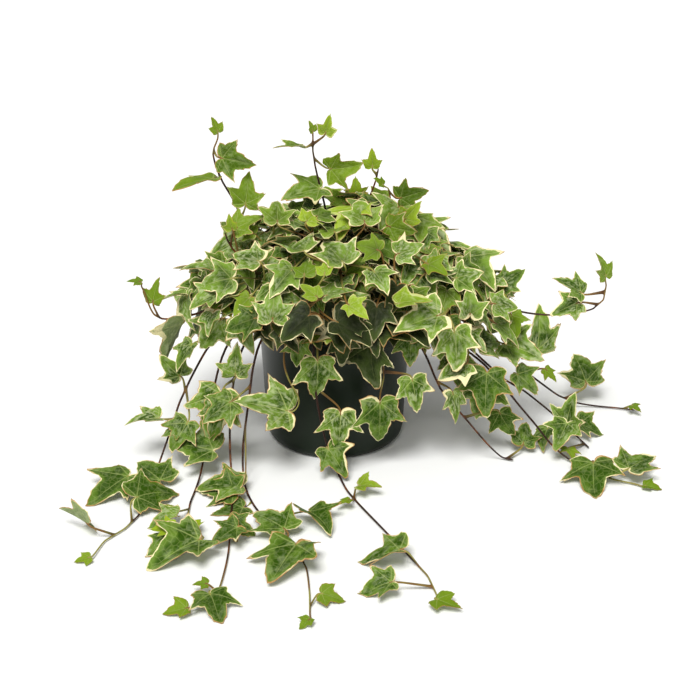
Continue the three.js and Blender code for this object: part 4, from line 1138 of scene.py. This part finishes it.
def make_stalk_pattern():
    """A straight five-sided stalk of height 1: a circle extruded upwards."""
    bpy.ops.object.select_all(action="DESELECT")
    bpy.ops.mesh.primitive_circle_add(vertices=5, radius=1, fill_type="NGON")
    bpy.ops.object.mode_set(mode="EDIT")
    bpy.ops.mesh.select_all(action="SELECT")
    for _ in range(STALK_STEPS):
        bpy.ops.mesh.extrude_region_move(TRANSFORM_OT_translate={"value": (0, 0, 1 / STALK_STEPS)})
    bpy.ops.mesh.select_all(action="SELECT")
    bpy.ops.mesh.normals_make_consistent(inside=False)
    return end_edit()


def grow_stalk(pattern, foot, pose):
    """A copy of the stalk, bent from a foot on a stem to a leaf's notch, where it comes from behind."""
    mesh = pattern.data.copy()
    end = pose.notch + pose.forward * 1.5 * MM - pose.up * 0.5 * MM
    span = (end - foot).length
    handle = end - (pose.forward * 0.8 + pose.up * 0.6) * span * 0.5
    for vertex in mesh.vertices:
        x, y, t = vertex.co
        centre = foot * (1 - t) ** 2 + handle * 2 * t * (1 - t) + end * t * t
        way = ((handle - foot) * (1 - t) + (end - handle) * t).normalized()
        side = way.cross(ASKEW).normalized()
        radius = STALK_FOOT_RADIUS + (STALK_TOP_RADIUS - STALK_FOOT_RADIUS) * t
        vertex.co = centre + (side * x + way.cross(side) * y) * radius
        vertex.co.z = max(vertex.co.z, STEM_GAP)
    write_attribute(mesh, "stalk", 0.9)
    return linked("stalk", mesh)


# Pot and soil

DRILL_LENGTH = 12 * MM


def pot_profile(pot):
    """The pot's section as (radius, height), from its pad round the foot, the rim and the inside to the
    middle of its floor."""
    rim = RIM_RADIUS
    top = POT_HEIGHT
    collar_foot = top - pot.collar
    soft = 0.8 * MM  # rounding of the edges
    slope = 2 * MM  # run of the pad's sloping side

    def outside(height):
        return pot.wall_foot + (pot.wall_top - pot.wall_foot) * height / top

    def inside(height):
        return outside(height) - pot.wall

    base = [
        (pot.pad, 0), (pot.pad + slope, pot.base_rise), (pot.ring_inside - slope / 2, pot.base_rise),
        (pot.ring_inside, 0), (pot.ring_outside, 0), (pot.ring_outside + 3.6 * MM, 1.6 * MM),
        (outside(0) - soft, 4.2 * MM),
    ]
    wall = [(outside(height), height) for height in (9 * MM, 40 * MM, 70 * MM, collar_foot)]
    collar = [
        (rim - 0.5 * MM, collar_foot + soft), (rim - 0.2 * MM, top - 3 * MM), (rim, top - 1 * MM),
        (rim - 0.3 * MM, top - 0.3 * MM), (rim - soft, top), (rim - pot.wall, top),
        (rim - pot.wall - soft, top - 0.6 * MM),
    ]
    hollow = [
        (inside(collar_foot), collar_foot - 4 * MM), (inside(50 * MM), 50 * MM),
        (inside(pot.floor) - 3 * MM, pot.floor + 2 * MM), (inside(pot.floor) - 7 * MM, pot.floor),
        (10 * MM, pot.floor),
    ]
    return base + wall + collar + hollow


class IVY_OT_pot(bpy.types.Operator):
    """Turn the round pot with its collar, foot ring and drain holes"""

    bl_idname = "ivy.pot"
    bl_label = "Pot"

    def execute(self, context):
        pot = context.scene.ivy_pot
        piece = turned("nursery_pot", pot_profile(pot), pot.sides)
        drills = []
        for k in range(pot.holes):
            around = 2 * math.pi * (k + 0.5) / pot.holes
            bpy.ops.mesh.primitive_cylinder_add(
                vertices=24, radius=pot.hole, depth=DRILL_LENGTH, location=(
                    pot.hole_circle * math.cos(around), pot.hole_circle * math.sin(around), pot.floor / 2))
            drills.append(context.object)
        drill = joined(drills, "drill")
        add_modifier(piece, "BOOLEAN", object=drill, operation="DIFFERENCE", solver="EXACT")
        bpy.data.objects.remove(drill)
        add_modifier(
            piece, "BEVEL", width=pot.bevel, segments=2, limit_method="ANGLE", angle_limit=math.radians(35))
        bpy.ops.object.shade_smooth_by_angle(angle=math.radians(32))
        piece.data.materials.append(moulded_polypropylene(pot))
        finish_piece(piece, "pot_plastic", POT_NODE)
        return {"FINISHED"}


SOIL_SIDES = 72
SOIL_RINGS = (0.985, 0.93, 0.86, 0.78, 0.7, 0.6, 0.5, 0.4, 0.3, 0.2, 0.08)  # of the soil's radius
CRUMB_ROOM = 1.2 * MM  # kept for the crumbs over the level soil
CRUMB_SIZES = (0.35, 1.5)  # of a middling crumb
CRUMB_SPREAD = 0.96  # of the soil's radius


class IVY_OT_soil(bpy.types.Operator):
    """Fill the pot with crumbly soil"""

    bl_idname = "ivy.soil"
    bl_label = "Soil"

    def execute(self, context):
        soil = context.scene.ivy_soil
        edge = (SOIL_HIGH.y - SOIL_LOW.y) / 2
        level = SOIL_HIGH.z - CRUMB_ROOM
        profile = [
            (edge - 12 * MM, SOIL_LOW.z), (edge - 7 * MM, SOIL_LOW.z + 3 * MM),
            (edge - 0.4 * MM, level - 5 * MM), (edge, level - 1.6 * MM),
        ]
        profile += [(edge * share, level) for share in SOIL_RINGS]
        body = turned("soil", profile, SOIL_SIDES)
        draws = random.Random(5)
        for vertex in body.data.vertices:
            if vertex.co.z > level - 0.5 * MM:
                vertex.co.z += draws.uniform(-1, 1) * soil.unevenness
        crumbs = []
        for _ in range(soil.crumbs):
            bpy.ops.object.select_all(action="DESELECT")
            radius = edge * CRUMB_SPREAD * math.sqrt(draws.random())
            around = draws.uniform(0, 2 * math.pi)
            size = soil.crumb * draws.uniform(*CRUMB_SIZES)
            bpy.ops.mesh.primitive_ico_sphere_add(
                subdivisions=1, radius=size, rotation=[draws.uniform(0, 3) for _ in range(3)],
                scale=(1, draws.uniform(0.6, 1), draws.uniform(0.5, 0.8)),
                location=(radius * math.cos(around), radius * math.sin(around), level + 0.3 * MM))
            crumbs.append(context.object)
        piece = joined([body] + crumbs, "potting_soil_surface")
        bpy.ops.object.shade_smooth_by_angle(angle=math.radians(60))
        piece.data.materials.clear()
        piece.data.materials.append(moist_peat(soil))
        finish_piece(piece, "soil", SOIL_NODE)
        return {"FINISHED"}


# Stage


class IVY_OT_stage(bpy.types.Operator):
    """Set the floor, the lights and the camera"""

    bl_idname = "ivy.stage"
    bl_label = "Stage"

    def execute(self, context):
        scene = context.scene
        stage = scene.ivy_stage
        bpy.ops.object.select_all(action="DESELECT")
        bpy.ops.mesh.primitive_plane_add(size=stage.floor)
        floor = context.object
        floor.name = "floor"
        floor.data.materials.append(matt_paper(stage))

        data = bpy.data.lights.new("lamp", "SUN")
        data.energy = stage.lamp
        data.angle = stage.lamp_size
        lamp = linked("lamp", data)
        lamp.rotation_euler = Vector(stage.lamp_place).to_track_quat("Z", "Y").to_euler()

        world = bpy.data.worlds.new("studio")
        world.use_nodes = True
        set_inputs(world.node_tree.nodes["Background"], {"Color": (1, 1, 1), "Strength": stage.sky})
        scene.world = world
        scene.view_settings.view_transform = "Standard"

        towards, _ = view_ways(stage)
        data = bpy.data.cameras.new("camera")
        data.lens = stage.lens
        data.sensor_width = SENSOR
        camera = linked("camera", data)
        camera.location = Vector(stage.aim) - towards * stage.distance
        camera.rotation_euler = towards.to_track_quat("-Z", "Y").to_euler()
        scene.camera = camera
        return {"FINISHED"}


class IVY_PT_panel(bpy.types.Panel):
    """Lists the sizes, the colours and the steps"""

    bl_label = "Potted Ivy"
    bl_idname = "IVY_PT_panel"
    bl_space_type = "VIEW_3D"
    bl_region_type = "UI"
    bl_category = "Ivy"

    def draw(self, context):
        layout = self.layout
        for name in SETTINGS:
            group = getattr(context.scene, name)
            box = layout.box()
            box.label(text=name.replace("_", " "))
            for key in group.bl_rna.properties.keys():
                if key not in ("rna_type", "name"):
                    box.prop(group, key)
        for operator in OPERATORS:
            layout.operator(operator.bl_idname)


OPERATORS = (IVY_OT_stage, IVY_OT_pot, IVY_OT_soil, IVY_OT_leaf_patterns, IVY_OT_leafy_stems)
CLASSES = (*SETTINGS.values(), *OPERATORS, IVY_PT_panel)


def register():
    for each in CLASSES:
        bpy.utils.register_class(each)
    for name, group in SETTINGS.items():
        setattr(bpy.types.Scene, name, bpy.props.PointerProperty(type=group))


def unregister():
    for name in SETTINGS:
        delattr(bpy.types.Scene, name)
    for each in reversed(CLASSES):
        bpy.utils.unregister_class(each)


def main():
    register()
    bpy.ops.ivy.stage()
    bpy.ops.ivy.pot()
    bpy.ops.ivy.soil()
    bpy.ops.ivy.leaf_patterns()
    bpy.ops.ivy.leafy_stems()


if __name__ == "__main__":
    main()
